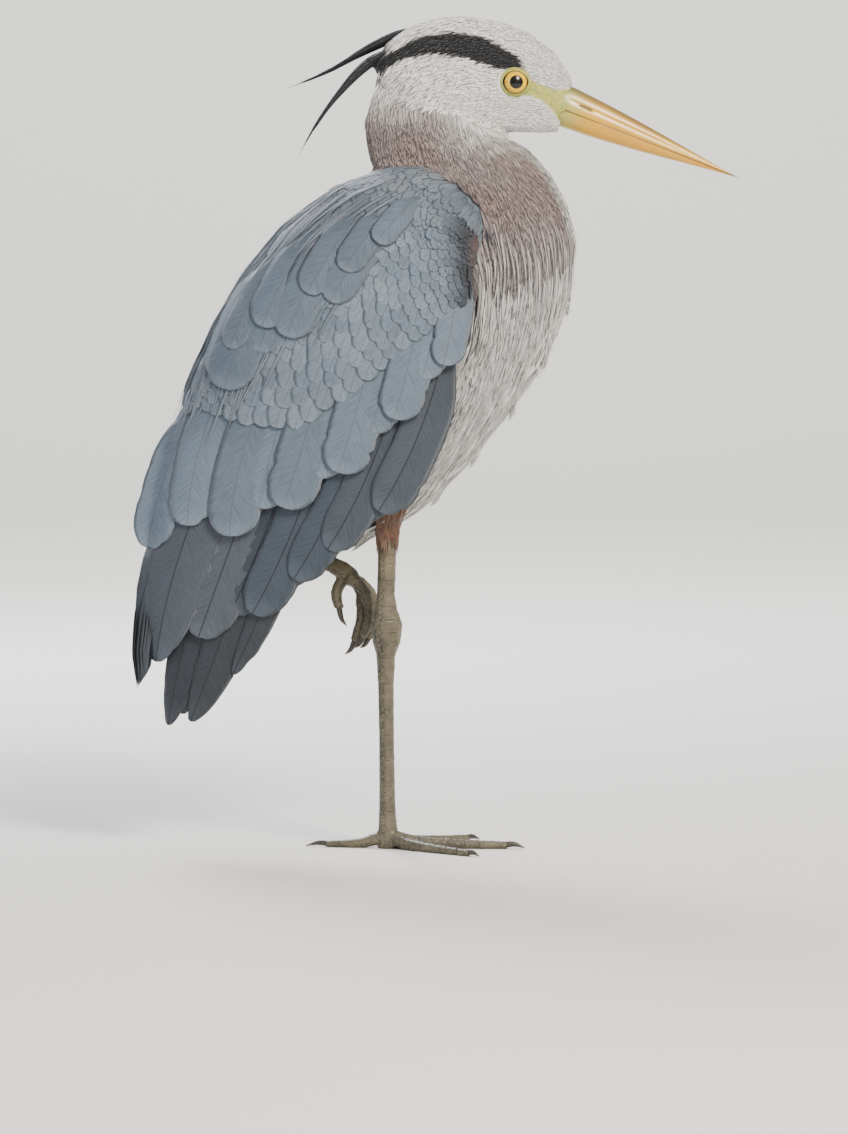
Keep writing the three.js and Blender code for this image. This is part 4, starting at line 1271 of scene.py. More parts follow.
# %% [markdown]
# A vane is never whole. Barbs part from each other here and there and leave a nick in the edge, and on a
# flight feather the vane in front of the shaft is narrower than the one behind.

# %% Shapes of long feathers
def broad_tip(s):
    tip = np.clip(1 - np.clip((s - 0.80) / 0.205, 0, 1) ** 2.3, 0, 1) ** 0.55
    return (0.30 + 0.70 * step_between(0, 0.45, s)) * tip


def tapered_tip(s):
    tip = np.clip(1 - np.clip((s - 0.62) / 0.385, 0, 1) ** 2.0, 0, 1) ** 0.62
    return (0.30 + 0.70 * step_between(0, 0.4, s)) * tip


def lance(s):
    return (0.5 + 0.5 * step_between(0, 0.3, s)) * (1 - 0.97 * step_between(0.35, 1.02, s))


def ragged(n, rows, columns, narrow=0.0, nicks=2):
    """Scales the width of each column: a narrower front vane, and a few nicks in both edges."""
    u = np.linspace(-1, 1, columns)
    scale = 1 - narrow * (u < 0) + 0.3 * narrow * (u > 0)
    scale = np.broadcast_to(scale, (n, rows + 2, columns)).copy()
    scale *= 1 + 0.012 * chance.standard_normal((n, rows + 2, 1))
    for _ in range(nicks):
        row = chance.integers(int(rows * 0.55), rows - 1, n)
        edge = np.where(chance.random(n) < 0.5, 0, columns - 1)
        deep = chance.uniform(0.04, 0.12, n)
        blade = np.arange(n)
        scale[blade, row, edge] *= 1 - deep
        scale[blade, row + 1, edge] *= 1 - 0.4 * deep
    return scale


class Sheets:
    """Cells on the map, one for each long feather: its top in one half, its underside in the other."""

    def __init__(self, count):
        self.across = max(1, math.ceil(math.sqrt(2.6 * count)))
        self.down = math.ceil(count / self.across)
        self.next = 0

    def __call__(self, sideways, reach):
        cell = self.next + np.arange(len(reach))[:, None]
        self.next += len(reach)
        left, foot = (cell % self.across) / self.across, (cell // self.across) / self.down
        high = foot + (0.04 + 0.92 * reach) / self.down
        return [np.stack([left + (half + 0.42 * sideways) / self.across, high], -1) for half in (0.25, 0.75)]


WING_ROWS, WING_COLUMNS = 26, 9
CLOSER_AT_TIP, SHADE_VARIES, DEEPER_ROW_HALF = 1.6, 0.01, 0.9


def lay_row(blades, sheets, table, sides, depths, profile=broad_tip, camber=0.05, thick=0.3, narrow=0.15,
            marks=(0, 0, 0), tilt=0.05):
    """Long feathers of one row. The table gives each tip (x, z), the angle of the shaft at its root and at
    its tip, its length and its half width. depths are those of the root and of the tip inside the outer form.
    The tilt raises the rear edge of each feather over the front edge of the next, as slates overlap."""
    rows = blades.rows
    share = 1 - (1 - np.linspace(0, 1, rows + 2)) ** CLOSER_AT_TIP
    x, z, at_root, at_tip, length, half = np.array(table, float).T
    angle = np.radians(at_root[:, None] + (at_tip - at_root)[:, None] * share[:-1] ** 1.3)
    run = np.stack([np.cos(angle), np.zeros_like(angle), np.sin(angle)], -1)
    run *= (length[:, None] * np.diff(share))[..., None]
    tip = np.stack([x, np.zeros_like(x), z], 1)[:, None]
    spine = np.concatenate([tip - np.cumsum(run[:, ::-1], axis=1)[:, ::-1], tip], 1)
    forward = unit(np.gradient(spine, axis=1))
    half_width = half[:, None] * profile(share)
    depth = depths[0] + (depths[1] - depths[0]) * share
    for side in sides:
        outward = np.zeros_like(forward)
        outward[..., 1] = side

        def drape(flat, rise):
            places = flat.copy()
            width = cloak_width(flat[..., 0].ravel(), flat[..., 2].ravel()).reshape(flat.shape[:-1])
            places[..., 1] = side * (width - depth[None, :, None] + rise)
            return places

        across = unit(np.cross(forward, outward))
        vanes = ragged(len(table), rows, blades.columns, narrow)
        vanes = vanes if side == LEFT else vanes[:, :, ::-1]
        laid = drape(spine[:, :, None], 0)[:, :, 0]
        shade = marks(laid[:, rows // 2], side) if callable(marks) else np.array(marks, float)
        shade = np.clip(shade + SHADE_VARIES * chance.standard_normal((len(table), 1)) * [1, 0, 0], 0, 1)
        blades.add(spine, across, outward, half_width, camber, thick, chance.random(len(table)), shade,
                   sheets or on_atlas(laid[:, 0]), vanes=vanes, drape=drape,
                   tilt=np.full(len(table), -side * tilt))


def between(table, lift):
    """Feathers half way between those of a row, a little shorter, to close the gaps under them."""
    rows = np.array(table, float)
    mid = (rows[:-1] + rows[1:]) / 2
    turn = np.radians(mid[:, 3])
    mid[:, 0] -= lift * np.cos(turn)
    mid[:, 1] -= lift * np.sin(turn)
    mid[:, 5] *= DEEPER_ROW_HALF
    return mid.tolist()


# %% Every row of the wing: tip x and z, shaft angle at root and tip, length, half width
SCAPULARS = [(-45, 438, 233, 238, 92, 15), (-78, 410, 235, 252, 104, 19), (-128, 369, 236, 256, 124, 23)]
UPPER_SCAPULARS = [
    (-8, 484, 226, 232, 52, 11), (-34, 462, 230, 238, 68, 13), (-62, 444, 232, 244, 80, 15),
    (-98, 418, 233, 250, 90, 16), (-124, 401, 236, 251, 84, 12)]
GREATER_COVERTS = [
    (44, 388, 264, 256, 84, 15), (5, 346, 260, 252, 98, 19), (-39, 304, 258, 250, 108, 21),
    (-82, 276, 256, 250, 118, 22), (-124, 253, 246, 268, 128, 23), (-158, 261, 245, 268, 128, 20),
    (-191, 242, 242, 262, 132, 18)]
SECONDARIES = [
    (-7, 273, 258, 236, 156, 20), (-47, 243, 256, 236, 156, 19), (-74, 219, 255, 236, 160, 19),
    (-107, 191, 254, 240, 168, 21), (-150, 172, 250, 250, 176, 24)]
TERTIALS = [(-185, 151, 244, 262, 196, 28), (-176, 186, 244, 260, 160, 24)]
PRIMARIES = [
    (-123, 142, 252, 244, 176, 13), (-157.5, 103.5, 252, 248, 224, 20), (-176, 99.5, 250, 260, 222, 17)]


def row_piece(name, slot, rows, *replaced):
    """Rows of long feathers as one piece. A row is its table, its sides, its depths and its settings."""
    blades = Blades(WING_ROWS, WING_COLUMNS, True)
    sheets = Sheets(sum(len(table) * len(sides) for table, sides, _, _ in rows))
    for table, sides, depths, settings in rows:
        lay_row(blades, sheets, table, sides, depths, **settings)
    show(name, blades, slot, *replaced)


row_piece("greater_coverts", "covert_feathers",
          [(between(GREATER_COVERTS, 11), SIDES, (6.8, 2.8), {}), (GREATER_COVERTS, SIDES, (5.0, 0.8), {})])
EVEN, LONG_TIP = {"narrow": 0}, {"profile": tapered_tip}
NARROW_TIP = {"profile": tapered_tip, "narrow": 0.3}
row_piece("scapulars", "back_feathers",
          [(between(SCAPULARS, 9), SIDES, (4.0, 0.6), EVEN), (SCAPULARS, SIDES, (2.4, -0.8), EVEN),
           (UPPER_SCAPULARS, SIDES, (3.2, -2.0), EVEN)])
for side, label in LABELS.items():
    row_piece(f"secondaries_{label}", "flight_feathers",
              [(between(SECONDARIES, 10), [side], (12.0, 7.6), {"marks": (0, 0, 0.3)}),
               (SECONDARIES, [side], (10.2, 5.6), {"marks": (0.02, 0, 0.12)}),
               (TERTIALS[1:], [side], (8.2, 3.8), {"marks": (0.02, 0, 0)} | EVEN),
               (TERTIALS[:1], [side], (6.8, 2.2), {"marks": (0.02, 0, 0)} | EVEN | LONG_TIP)],
              f"wing_{label}_secondaries")
    row_piece(f"primaries_{label}", "flight_feathers",
              [(between(PRIMARIES, 8), [side], (15.2, 11.0), {"marks": (0, 0, 0.7)} | NARROW_TIP),
               (PRIMARIES, [side], (13.6, 9.2), {"marks": (0, 0, 0.6)} | NARROW_TIP)],
              f"wing_{label}_primaries")

# %% [markdown]
# The small coverts lie in rows between two lines: one where the greater coverts come out, and one near the
# shoulder. The rows stand closer together towards the top, where the feathers are smaller, and each is
# shifted by half a feather against the next.

# %% Rows of small coverts
LOWEST_TIPS = [
    (60, 440), (46, 428), (7, 397), (-34, 363), (-74, 338), (-118, 343), (-144, 351), (-158, 356)]
HIGHEST_TIPS = [(68, 476), (52, 493), (30, 502), (6, 496), (-22, 472), (-58, 434), (-98, 402), (-132, 382)]
COVERT_LEVELS = 11
COVERT_OVERLAP, COVERT_HALF, COVERT_STEP = 2.7, 0.26, 1.22


def small_covert_table():
    """Tips, angles, lengths and half widths of every row."""
    ends = np.linspace(0, 1, len(LOWEST_TIPS))
    fine = np.linspace(0, 1, 400)
    low, high = ([np.interp(fine, ends, column) for column in np.array(line, float).T]
                 for line in (LOWEST_TIPS, HIGHEST_TIPS))
    low, high = np.stack(low, 1), np.stack(high, 1)
    field = np.linalg.norm(high - low, axis=1)
    table = []
    for level in range(COVERT_LEVELS):
        t = level / (COVERT_LEVELS - 1)
        line = low + (high - low) * (4 * t - t * t) / 3
        gap = field * (4 - 2 * t) / 3 / (COVERT_LEVELS - 1)
        length = np.clip(COVERT_OVERLAP * gap, 15 + 3 * (1 - t), 42)
        so_far = np.concatenate([[0], np.linalg.norm(np.diff(line, axis=0), axis=1).cumsum()])
        place = 0.5 * (level % 2) * COVERT_STEP * COVERT_HALF * length[0]
        while place < so_far[-1]:
            tip = np.array([np.interp(place, so_far, column) for column in line.T])
            size = np.interp(place, so_far, length)
            place += COVERT_STEP * COVERT_HALF * size * chance.uniform(0.92, 1.08)
            tip += chance.normal(0, 0.022 * size, 2)
            size *= chance.uniform(0.93, 1.07)
            lie = lie_of(np.array([[tip[0], 0, tip[1]]]), np.array([[0, -1, 0]]), COVERTS_RIGHT)[0]
            angle = math.degrees(math.atan2(lie[2], lie[0])) % 360 + chance.normal(0, 2.2)
            table.append([*tip, angle - 2, angle + 3, size, COVERT_HALF * size * chance.uniform(0.93, 1.07)])
    return table


def covert_shade(places, side):
    parts = np.full(len(places), COVERTS_RIGHT if side == RIGHT else COVERTS_LEFT)
    return marks_of(places, np.tile([0.0, side, 0.0], (len(places), 1)), parts)


small_rows = Blades(9, 7, False)
small_table = small_covert_table()
lay_row(small_rows, None, small_table, SIDES, (4.8, 1.5), round_tip, camber=0.1, thick=0.12, narrow=0,
        marks=covert_shade, tilt=0.07)
show("small_coverts", small_rows, "covert_feathers")
print(2 * len(small_table), "small coverts")

# %% [markdown]
# ## The tail
# Twelve straight feathers, shut like a fan. The middle pair lies on top, and each pair under it reaches a
# little further to the side.

# %% Twelve tail feathers
TAIL_TOP = [(-160, 278), (-176, 262), (-192, 228), (-203, 190), (-206, 158), (-202.5, 127)]
TAIL_HALF_WIDTH = 11.0


def fan_of_tail():
    rows, pairs = 22, 6
    number = np.arange(2 * pairs)
    order = (number - pairs + 0.5)
    share = np.linspace(0, 1, rows + 2)
    path = np.array(TAIL_TOP, float)
    far = np.linspace(0, 1, len(path))
    out = np.abs(order)[:, None]
    spine = np.zeros((len(order), rows + 2, 3))
    shorter = share[None] * (1 - 0.014 * out)
    spine[..., 0] = np.interp(shorter, far, path[:, 0]) + 1.6 * out + 1.5
    spine[..., 1] = order[:, None] * (0.5 + 1.3 * share[None])
    spine[..., 2] = np.interp(shorter, far, path[:, 1])
    forward = unit(np.gradient(spine, axis=1))
    facing = unit(np.stack([np.full(len(order), -0.95), 0.22 * order, np.full(len(order), 0.3)], 1))
    side = unit(np.cross(forward, facing[:, None]))
    blades = Blades(rows, WING_COLUMNS, True)
    widths = TAIL_HALF_WIDTH * np.broadcast_to(tapered_tip(share), spine.shape[:2])
    marks = np.tile([0.03, 0, 0.45], (len(order), 1))
    blades.add(spine, side, np.cross(side, forward), widths, 0.06, 0.35, chance.random(len(order)), marks,
               Sheets(len(order)),
               vanes=ragged(len(order), rows, WING_COLUMNS, 0.15))
    return blades


show("tail_feathers", fan_of_tail(), "flight_feathers", "tail")

# %% [markdown]
# ## Plumes
# An adult carries three sorts of plume: two black ones that trail from the nape, pale ones over the breast,
# and silvery ones over the back. Each is a lance, widest near its root, swept along a smooth line through a
# few points.

# %% Blades along a line
def smooth_path(points, count):
    """A Catmull-Rom curve through points, sampled evenly in its parameter."""
    p = np.array(points, float)
    p = np.concatenate([[2 * p[0] - p[1]], p, [2 * p[-1] - p[-2]]])
    t = np.linspace(0, len(points) - 1, count)
    k = np.minimum(t.astype(int), len(points) - 2)
    t = (t - k)[:, None]
    a, b, c, d = p[k], p[k + 1], p[k + 2], p[k + 3]
    return 0.5 * (2 * b + (c - a) * t + (2 * a - 5 * b + 4 * c - d) * t ** 2
                  + (3 * b - a - 3 * c + d) * t ** 3)


STRAND_CAMBER, STRAND_THICKNESS = 0.15, 0.18


def strand(blades, sheets, path, half_width, facing, marks=(0, 0, 0)):
    """One blade along a path of points, whose upper side faces `facing`."""
    rows = blades.rows
    spine = smooth_path(path, rows + 2)[None]
    forward = unit(np.gradient(spine, axis=1))
    side = unit(np.cross(forward, np.broadcast_to(np.array(facing, float), forward.shape)))
    widths = half_width * lance(np.linspace(0, 1, rows + 2))[None]
    blades.add(spine, side, np.cross(side, forward), widths, STRAND_CAMBER, STRAND_THICKNESS,
               chance.random(1), np.array([marks], float), sheets,
               vanes=ragged(1, rows, blades.columns, nicks=1))


# %% The two trailing plumes of the nape
UPPER_PLUME = [(34, 4, 655), (6, 5, 648), (-20, 5.5, 636), (-50, 6, 619.5), (-86, 6.5, 605)]
LOWER_PLUME = [(4, -6, 636), (-14, -6.5, 627), (-32, -7, 610), (-54, -7.5, 582), (-73, -8, 549)]
FEATHERS_IN_PLUME = 7
crest_blades = Blades(20, 5, True)
crest_sheets = Sheets(2 * FEATHERS_IN_PLUME)
for path in (UPPER_PLUME, LOWER_PLUME):
    path = np.array(path, float)
    down = unit(path[-1] - path[0])
    below = np.cross(down, [0, 1, 0])
    for number in range(FEATHERS_IN_PLUME):
        spread = (number - (FEATHERS_IN_PLUME - 1) / 2) / FEATHERS_IN_PLUME
        fade = np.linspace(1, 0, len(path))[:, None]
        shift = below * (5.0 * spread * (0.35 + 0.65 * fade))
        shift = shift + np.array([0, 3.2 * math.sin(7 * spread), 0]) * fade
        kept = 1 - 0.16 * abs(spread) * 2 * chance.uniform(0.6, 1.4)
        line = smooth_path(path + shift, 40)[:max(8, int(40 * kept))]
        strand(crest_blades, crest_sheets, line[np.linspace(0, len(line) - 1, 7).astype(int)], 2.5,
               (0.25 * math.sin(9 * spread), -1 if number % 2 else 1, 0.3))
show("crest_plumes", crest_blades, "black_plumes", "crest_upper", "crest_lower")

# %% [markdown]
# The plumes of the breast hang in pointed bundles, one under another, and their tips stand free of the body.

# %% Bundles of breast plumes: tip x, tip z and length of each bundle
BREAST_PLUMES = [
    (140, 424, 22), (123, 381, 25), (94, 341, 26), (62, 303, 24), (32, 274, 20), (-9, 250, 18),
    (-31, 239, 17)]
PLUMES_IN_BUNDLE, PLUMES_IN_PROFILE = 14, 26
plume_blades = Blades(12, 3, True)
bundles = []
levels = np.array(BREAST_PLUMES, float)
halfway = (levels[1:] + levels[:-1]) / 2 + [-3, 3, 0]
for line, rows in ((levels, range(-2, 3)), (halfway, (-1.5, -0.5, 0.5, 1.5))):
    for x, z, length in line:
        bundles += [(x - 2.5 * row * row, row * (6 + 0.3 * length), z, length, row == 0) for row in rows]
plume_sheets = Sheets(len(bundles) * PLUMES_IN_PROFILE)
for x, y, z, length, in_profile in bundles:
    on, facing, _ = skin.nearest(np.array([[x, y, z]]))
    back = -lie_of(on, facing, part_of(on))[0]
    facing = facing[0]
    tip = np.array([x, y, z]) + 1.5 * facing if in_profile else on[0] + 4.2 * facing
    spread = 0.5 if in_profile else 1.0
    across = np.cross(facing, back)
    for aside in np.linspace(-1, 1, PLUMES_IN_PROFILE if in_profile else PLUMES_IN_BUNDLE):
        aside += chance.uniform(-0.12, 0.12)
        end = tip + back * length * spread * (0.6 * abs(aside) + chance.uniform(0, 0.3))
        end += across * 0.12 * length * spread * aside
        start = end + back * length * chance.uniform(1.7, 2.3) + across * 0.3 * length * aside
        ground, up, _ = skin.nearest(np.array([start, (2 * end + start) / 3]))
        towards = np.array([0, chance.choice([-1.2, 1.2]), 0]) if in_profile else 0
        strand(plume_blades, plume_sheets, [ground[0] - 0.5 * up[0], ground[1] + 2.6 * up[1], end],
               1.7 if in_profile else 1.35, up[1] + towards, marks=(chance.uniform(0.45, 0.95), 0, 0))
show("breast_plumes", plume_blades, "breast_feathers")


# %% Long loose plumes over the lower neck and over the back
PLUMES_THROWN = 12000


def loose_plumes(name, parts_here, allowed, apart, length, half_width, low, high, slot, pale,
                 streaked=0.0, material=None):
    """Long lances that follow the lie and lie on top of the coat."""
    spacing = lambda points, _: np.full(len(points), apart)
    roots, normals, parts = scattered(parts_here, allowed, spacing, PLUMES_THROWN)
    rows = 14
    sizes = length * chance.uniform(0.75, 1.2, len(roots))
    spine, side, up = walk(roots, normals, parts, sizes, rows, np.full(len(roots), low),
                           high * chance.uniform(0.9, 1.1, len(roots)), 0.05, loose=3.0)
    passed = part_of(spine[:, 2:].reshape(-1, 3)).reshape(len(roots), -1)
    on_wing = np.isin(passed, [MANTLE, COVERTS_RIGHT, COVERTS_LEFT]).any(1)
    kept = settled(spine, high) & np.where(MANTLE in parts_here, parts == MANTLE, ~on_wing)
    roots, spine, side, up = roots[kept], spine[kept], side[kept], up[kept]
    blades = Blades(rows, 3, False)
    widths = half_width * np.broadcast_to(lance(np.linspace(0, 1, rows + 2)), (len(roots), rows + 2))
    beside = (np.abs(roots[:, 1]) > 4) & (np.abs(roots[:, 1]) < 16) & (chance.random(len(roots)) < streaked)
    on_neck = step_between(440, 525, roots[:, 2]) * (MANTLE not in parts_here)
    pale = chance.uniform(*pale, len(roots)) * (1 - 0.6 * on_neck)
    marks = np.stack([pale, 0.35 * on_neck, 0.85 * beside], 1)
    blades.add(spine, side, up, widths, 0.15, 0.12, chance.random(len(roots)), marks, on_atlas(roots))
    show(name, blades, slot, material=material)
    print(name, len(roots), "plumes")


def over_the_foreneck(points, normals, parts):
    fade = step_between(330, 370, points[:, 2]) * (1 - step_between(455, 525, points[:, 2]))
    front = step_between(0.0, 0.5, normals[:, 0])
    return chance.random(len(points)) < fade * front


def over_the_shoulders(points, normals, parts):
    fade = step_between(400, 440, points[:, 2]) * (1 - step_between(505, 540, points[:, 2]))
    return (chance.random(len(points)) < fade) & (points[:, 0] < 30)


loose_plumes("foreneck_plumes", [BREAST, NECK_LOWER], over_the_foreneck, 3.6, 52, 1.15, 0.4, 4.6,
             "breast_feathers", (0.2, 0.9), streaked=0.25)
loose_plumes("back_plumes", [MANTLE], over_the_shoulders, 8.0, 86, 1.8, 1.8, 4.6, "back_feathers",
             (0.0, 0.06), material=feathers["silvery_plumes"])

# %% [markdown]
# The feathers of the thigh end in a cuff over the top of the bare leg. They swell out over its edge and lie
# close to it at their tips.

# %% The cuff over the standing leg
CUFF_FEATHERS = 260
CUFF_HEIGHTS, CUFF_REACH = [240, 250, 258, 266, 276, 290], [8.2, 8.8, 9.5, 11.4, 14.2, 20]


def leg_cuff():
    rows = 8
    share = np.linspace(0, 1, rows + 2)
    tall = chance.uniform(17, 26, CUFF_FEATHERS)[:, None]
    z = chance.uniform(260, 290, CUFF_FEATHERS)[:, None] - tall * share
    reach = np.interp(z, CUFF_HEIGHTS, CUFF_REACH) - 0.6 + 1.1 * share
    turn = chance.uniform(0, 2 * math.pi, CUFF_FEATHERS)[:, None]
    turn = turn + 0.1 * chance.standard_normal((CUFF_FEATHERS, 1)) * share
    out = np.stack([np.cos(turn), 0.92 * np.sin(turn), np.zeros_like(turn)], -1)
    spine = out * reach[..., None] + np.stack([np.interp(z, [258, 276], [0, 2]), leg_side(z), z], -1)
    forward = unit(np.gradient(spine, axis=1))
    side = unit(np.cross(forward, out))
    marks = np.stack(thigh_marks(spine[:, -1], None), 1)
    blades = Blades(rows, 3, False)
    widths = 1.35 * np.broadcast_to(pointed_tip(share), z.shape)
    blades.add(spine, side, np.cross(side, forward), widths, 0.15, 0.1, chance.random(CUFF_FEATHERS), marks,
               on_atlas(spine[:, 0]))
    return blades


show("thigh_cuff", leg_cuff(), "thigh_feathers")

# %% [markdown]
# ## The bill
# The bill is a dagger in two halves. Flat sides meet in a ridge, a groove runs forward from each slit of a
# nostril, and the upper half closes just outside the lower. Each half is one grid, so the groove and the
# nostril are real dents in it.

# %% Two halves of the bill
BILL_ROOT, BILL_DROOP, BILL_LENGTH, BILL_BURIED = np.array([133.0, 0.0, 592.5]), math.radians(21), 157.0, 16.0
BILL_DEPTH, BILL_HALF_WIDTH, FEATHERED = 32.5, 11.5, 0.07
BILL_AXIS = np.array([math.cos(BILL_DROOP), 0, -math.sin(BILL_DROOP)])
BILL_UP = np.array([math.sin(BILL_DROOP), 0, math.cos(BILL_DROOP)])
NOSTRIL_FROM, NOSTRIL_TO, NOSTRIL_HEIGHT = 17.0, 30.0, 8.6


def bill_half(upper, rings=150, around=64):
    """Places and horn values (millimetres along, height, nostril) of one half."""
    along = np.linspace(-BILL_BURIED, BILL_LENGTH, rings)
    v = np.clip((along / BILL_LENGTH - FEATHERED) / (1 - FEATHERED), 0, 1)
    taper = np.maximum(1 - v, 0.012) * (1 + (0.1 if upper else 0.2) * np.sin(np.pi * v))
    high = BILL_DEPTH * (0.6 if upper else 0.4) * taper
    wide = BILL_HALF_WIDTH * taper ** 0.95 * (1 if upper else 0.955)
    phi = np.linspace(0, np.pi, around)
    y = wide[:, None] * np.sign(np.cos(phi)) * np.abs(np.cos(phi)) ** (0.92 if upper else 0.9)
    h = high[:, None] * np.sin(phi) ** (0.95 if upper else 1.15)
    a = np.broadcast_to(along[:, None], y.shape)
    nostril = np.zeros_like(y)
    if upper:
        line = NOSTRIL_HEIGHT * (1 - 0.9 * np.clip((a - 8) / 130, 0, 1))
        groove = np.exp(-((h - line) / (0.14 * line + 0.5)) ** 2)
        groove *= step_between(4, 14, a) * (1 - step_between(70, 118, a))
        slit = np.exp(-((h - line + 0.3) / 0.85) ** 2)
        nostril = slit * step_between(NOSTRIL_FROM, NOSTRIL_FROM + 2, a)
        nostril = nostril * (1 - step_between(NOSTRIL_TO - 3, NOSTRIL_TO, a))
        y = y - np.sign(y) * (0.55 * groove + 1.3 * nostril)
        h = h - 0.35 * (h < 0.6) * (1 - h / 0.6)
    else:
        h = -h - 0.12
    places = BILL_ROOT + a[..., None] * BILL_AXIS + h[..., None] * BILL_UP
    places[..., 1] += y
    return places, np.stack([a, np.abs(h), nostril], -1)


def closed_tube(places, values, label, name, flip=False):
    """A closed mesh over rings that are stacked in places: [rings, around, 3]."""
    rings, around = places.shape[:2]
    grid = np.arange(rings * around).reshape(rings, around)
    first, last = rings * around, rings * around + 1
    fans = [[first, b, a] for a, b in zip(grid[0], np.roll(grid[0], -1))]
    fans += [[last, a, b] for a, b in zip(grid[-1], np.roll(grid[-1], -1))]
    fans = np.array(fans)[:, ::-1] if flip else np.array(fans)
    places, values = (np.concatenate([a.reshape(-1, 3), [a[0].mean(0), a[-1].mean(0)]])
                      for a in (places, values))
    mesh = mesh_from_arrays(name, places, ring_faces(grid, flip), fans)
    put_vectors(mesh, label, values)
    return mesh


def bill_horn(name, main, shadow):
    """Horn: yellow, dusky along the ridge, greenish at the face, with fine lines along the bill."""
    material, tree = start_material(name)
    along, high, nostril = stored(tree, "horn")
    place = object_place(tree)
    lines = joined_xyz(tree, times(tree, along, 0.05), times(tree, high, 0.9), split(tree, place)[1])
    grain = noise(tree, lines, 2.2, 5.0)
    mottle = noise(tree, place, 55.0, 4.0)
    share = maths(tree, "DIVIDE", along, BILL_LENGTH)
    colour = mix(tree, ramp(tree, mottle, 0.3, 0.7), main, "cf9a22")
    colour = mix(tree, ramp(tree, share, 0.22, 0.02), colour, "a9a655")
    ridge = maths(tree, "DIVIDE", high, maths(tree, "MULTIPLY_ADD", share, -19.0, 20.5))
    for mask, shade in ((times(tree, ramp(tree, ridge, 0.62, 0.95), 0.72), shadow),
                        (times(tree, ramp(tree, grain, 0.52, 0.7), 0.35), "8a6a34"),
                        (ramp(tree, share, 0.93, 1.0, 0.0, 0.4), "6b5532"),
                        (ramp(tree, high, 1.0, 0.15, 0.0, 0.85), "4a3418"),
                        (ramp(tree, nostril, 0.25, 0.8), "120e0a")):
        colour = mix(tree, mask, colour, shade)
    return finished(material, Base_Color=colour, Roughness=ramp(tree, grain, 0.3, 0.8, 0.28, 0.46),
                    Coat_Weight=0.25, Coat_Roughness=0.25, Subsurface_Weight=0.05, Subsurface_Scale=0.003,
                    Normal=relief(tree, grain, 0.25, 0.0003))


for half, upper, main, shadow in (("upper", True, "d6a520", "4d4738"), ("lower", False, "dd9f1c", "b07f24")):
    horn = closed_tube(*bill_half(upper), "horn", f"bill_{half}_horn", upper)
    show(f"bill_{half}_horn", horn, "bill_horn", f"bill_{half}",
         material=bill_horn(f"{half}_bill_horn", main, shadow))

# %% [markdown]
# ## The eyes
# The eye is a wet ball with a yellow iris of fine spokes, a round black pupil and a dark rim. Painting it by
# the distance from the middle of the cornea keeps it round, and a clear coat makes it wet.

# %% Eyeballs
EYE_SIDE, EYE_FLATTENED = 12.9, 0.86
PUPIL, IRIS, CORNEA_BULGE = 5.2, 8.9, 0.7


def eyeball(side, rings=40, around=56):
    theta = np.linspace(0.02, math.pi - 0.02, rings)[:, None]
    turn = np.linspace(0, 2 * math.pi, around, endpoint=False)[None]
    out = np.array([0.10, side, -0.02])
    out = out / np.linalg.norm(out)
    ahead = unit(np.array([1.0, 0, 0]) - out * out[0])
    above = np.cross(ahead, out)
    off = EYE_RADIUS * np.sin(theta)
    bulge = CORNEA_BULGE * np.clip(1 - (off / IRIS) ** 2, 0, 1) * (theta < math.pi / 2)
    depth = EYE_RADIUS * EYE_FLATTENED * np.cos(theta) + bulge
    places = (np.cos(turn) * off)[..., None] * ahead + (np.sin(turn) * off)[..., None] * above
    places = places + (depth * np.ones_like(turn))[..., None] * out + [EYE_X, side * EYE_SIDE, EYE_Z]
    radius = np.where(theta < math.pi / 2, off, 2 * EYE_RADIUS - off)
    values = np.stack(np.broadcast_arrays(np.cos(turn), np.sin(turn), radius), -1)
    return closed_tube(places, values, "iris", f"eyeball_{LABELS[side]}", side == LEFT)


def wet_eye():
    material, tree = start_material("wet_eye")
    across, upward, radius = stored(tree, "iris")
    around = joined_xyz(tree, times(tree, across, 9.0), times(tree, upward, 9.0), times(tree, radius, 0.25))
    spokes = noise(tree, around, 1.6, 4.0)
    colour = mix(tree, ramp(tree, spokes, 0.35, 0.65), "f2cf18", "dca110")
    for low, high, most, shade in ((IRIS - 1.6, IRIS - 0.2, 0.6, "a8741a"),
                                   (PUPIL + 0.9, PUPIL, 0.5, "8c5a08"),
                                   (IRIS - 0.15, IRIS + 0.25, 1.0, "14110f"),
                                   (PUPIL + 0.15, PUPIL - 0.1, 1.0, "030303")):
        colour = mix(tree, ramp(tree, radius, low, high, 0.0, most), colour, shade)
    return finished(material, Base_Color=colour, Roughness=ramp(tree, spokes, 0.0, 1.0, 0.25, 0.4),
                    Specular_IOR_Level=0.2, Coat_Weight=0.7, Coat_Roughness=0.03)


eye_material = wet_eye()
for side in SIDES:
    show(f"eyeball_{LABELS[side]}", eyeball(side), "eyes", f"eye_{LABELS[side]}", material=eye_material)

# %% [markdown]
# ## The lids
# The lids are a ring of bare skin that laps onto the ball. The upper one comes lower than the lower one
# comes up, which gives the bird its stern look, and the ring draws out to a point towards the bill.

# %% Rings of the lids
LID_AROUND, LID_RINGS, LID_INSIDE = 120, 12, 3.0


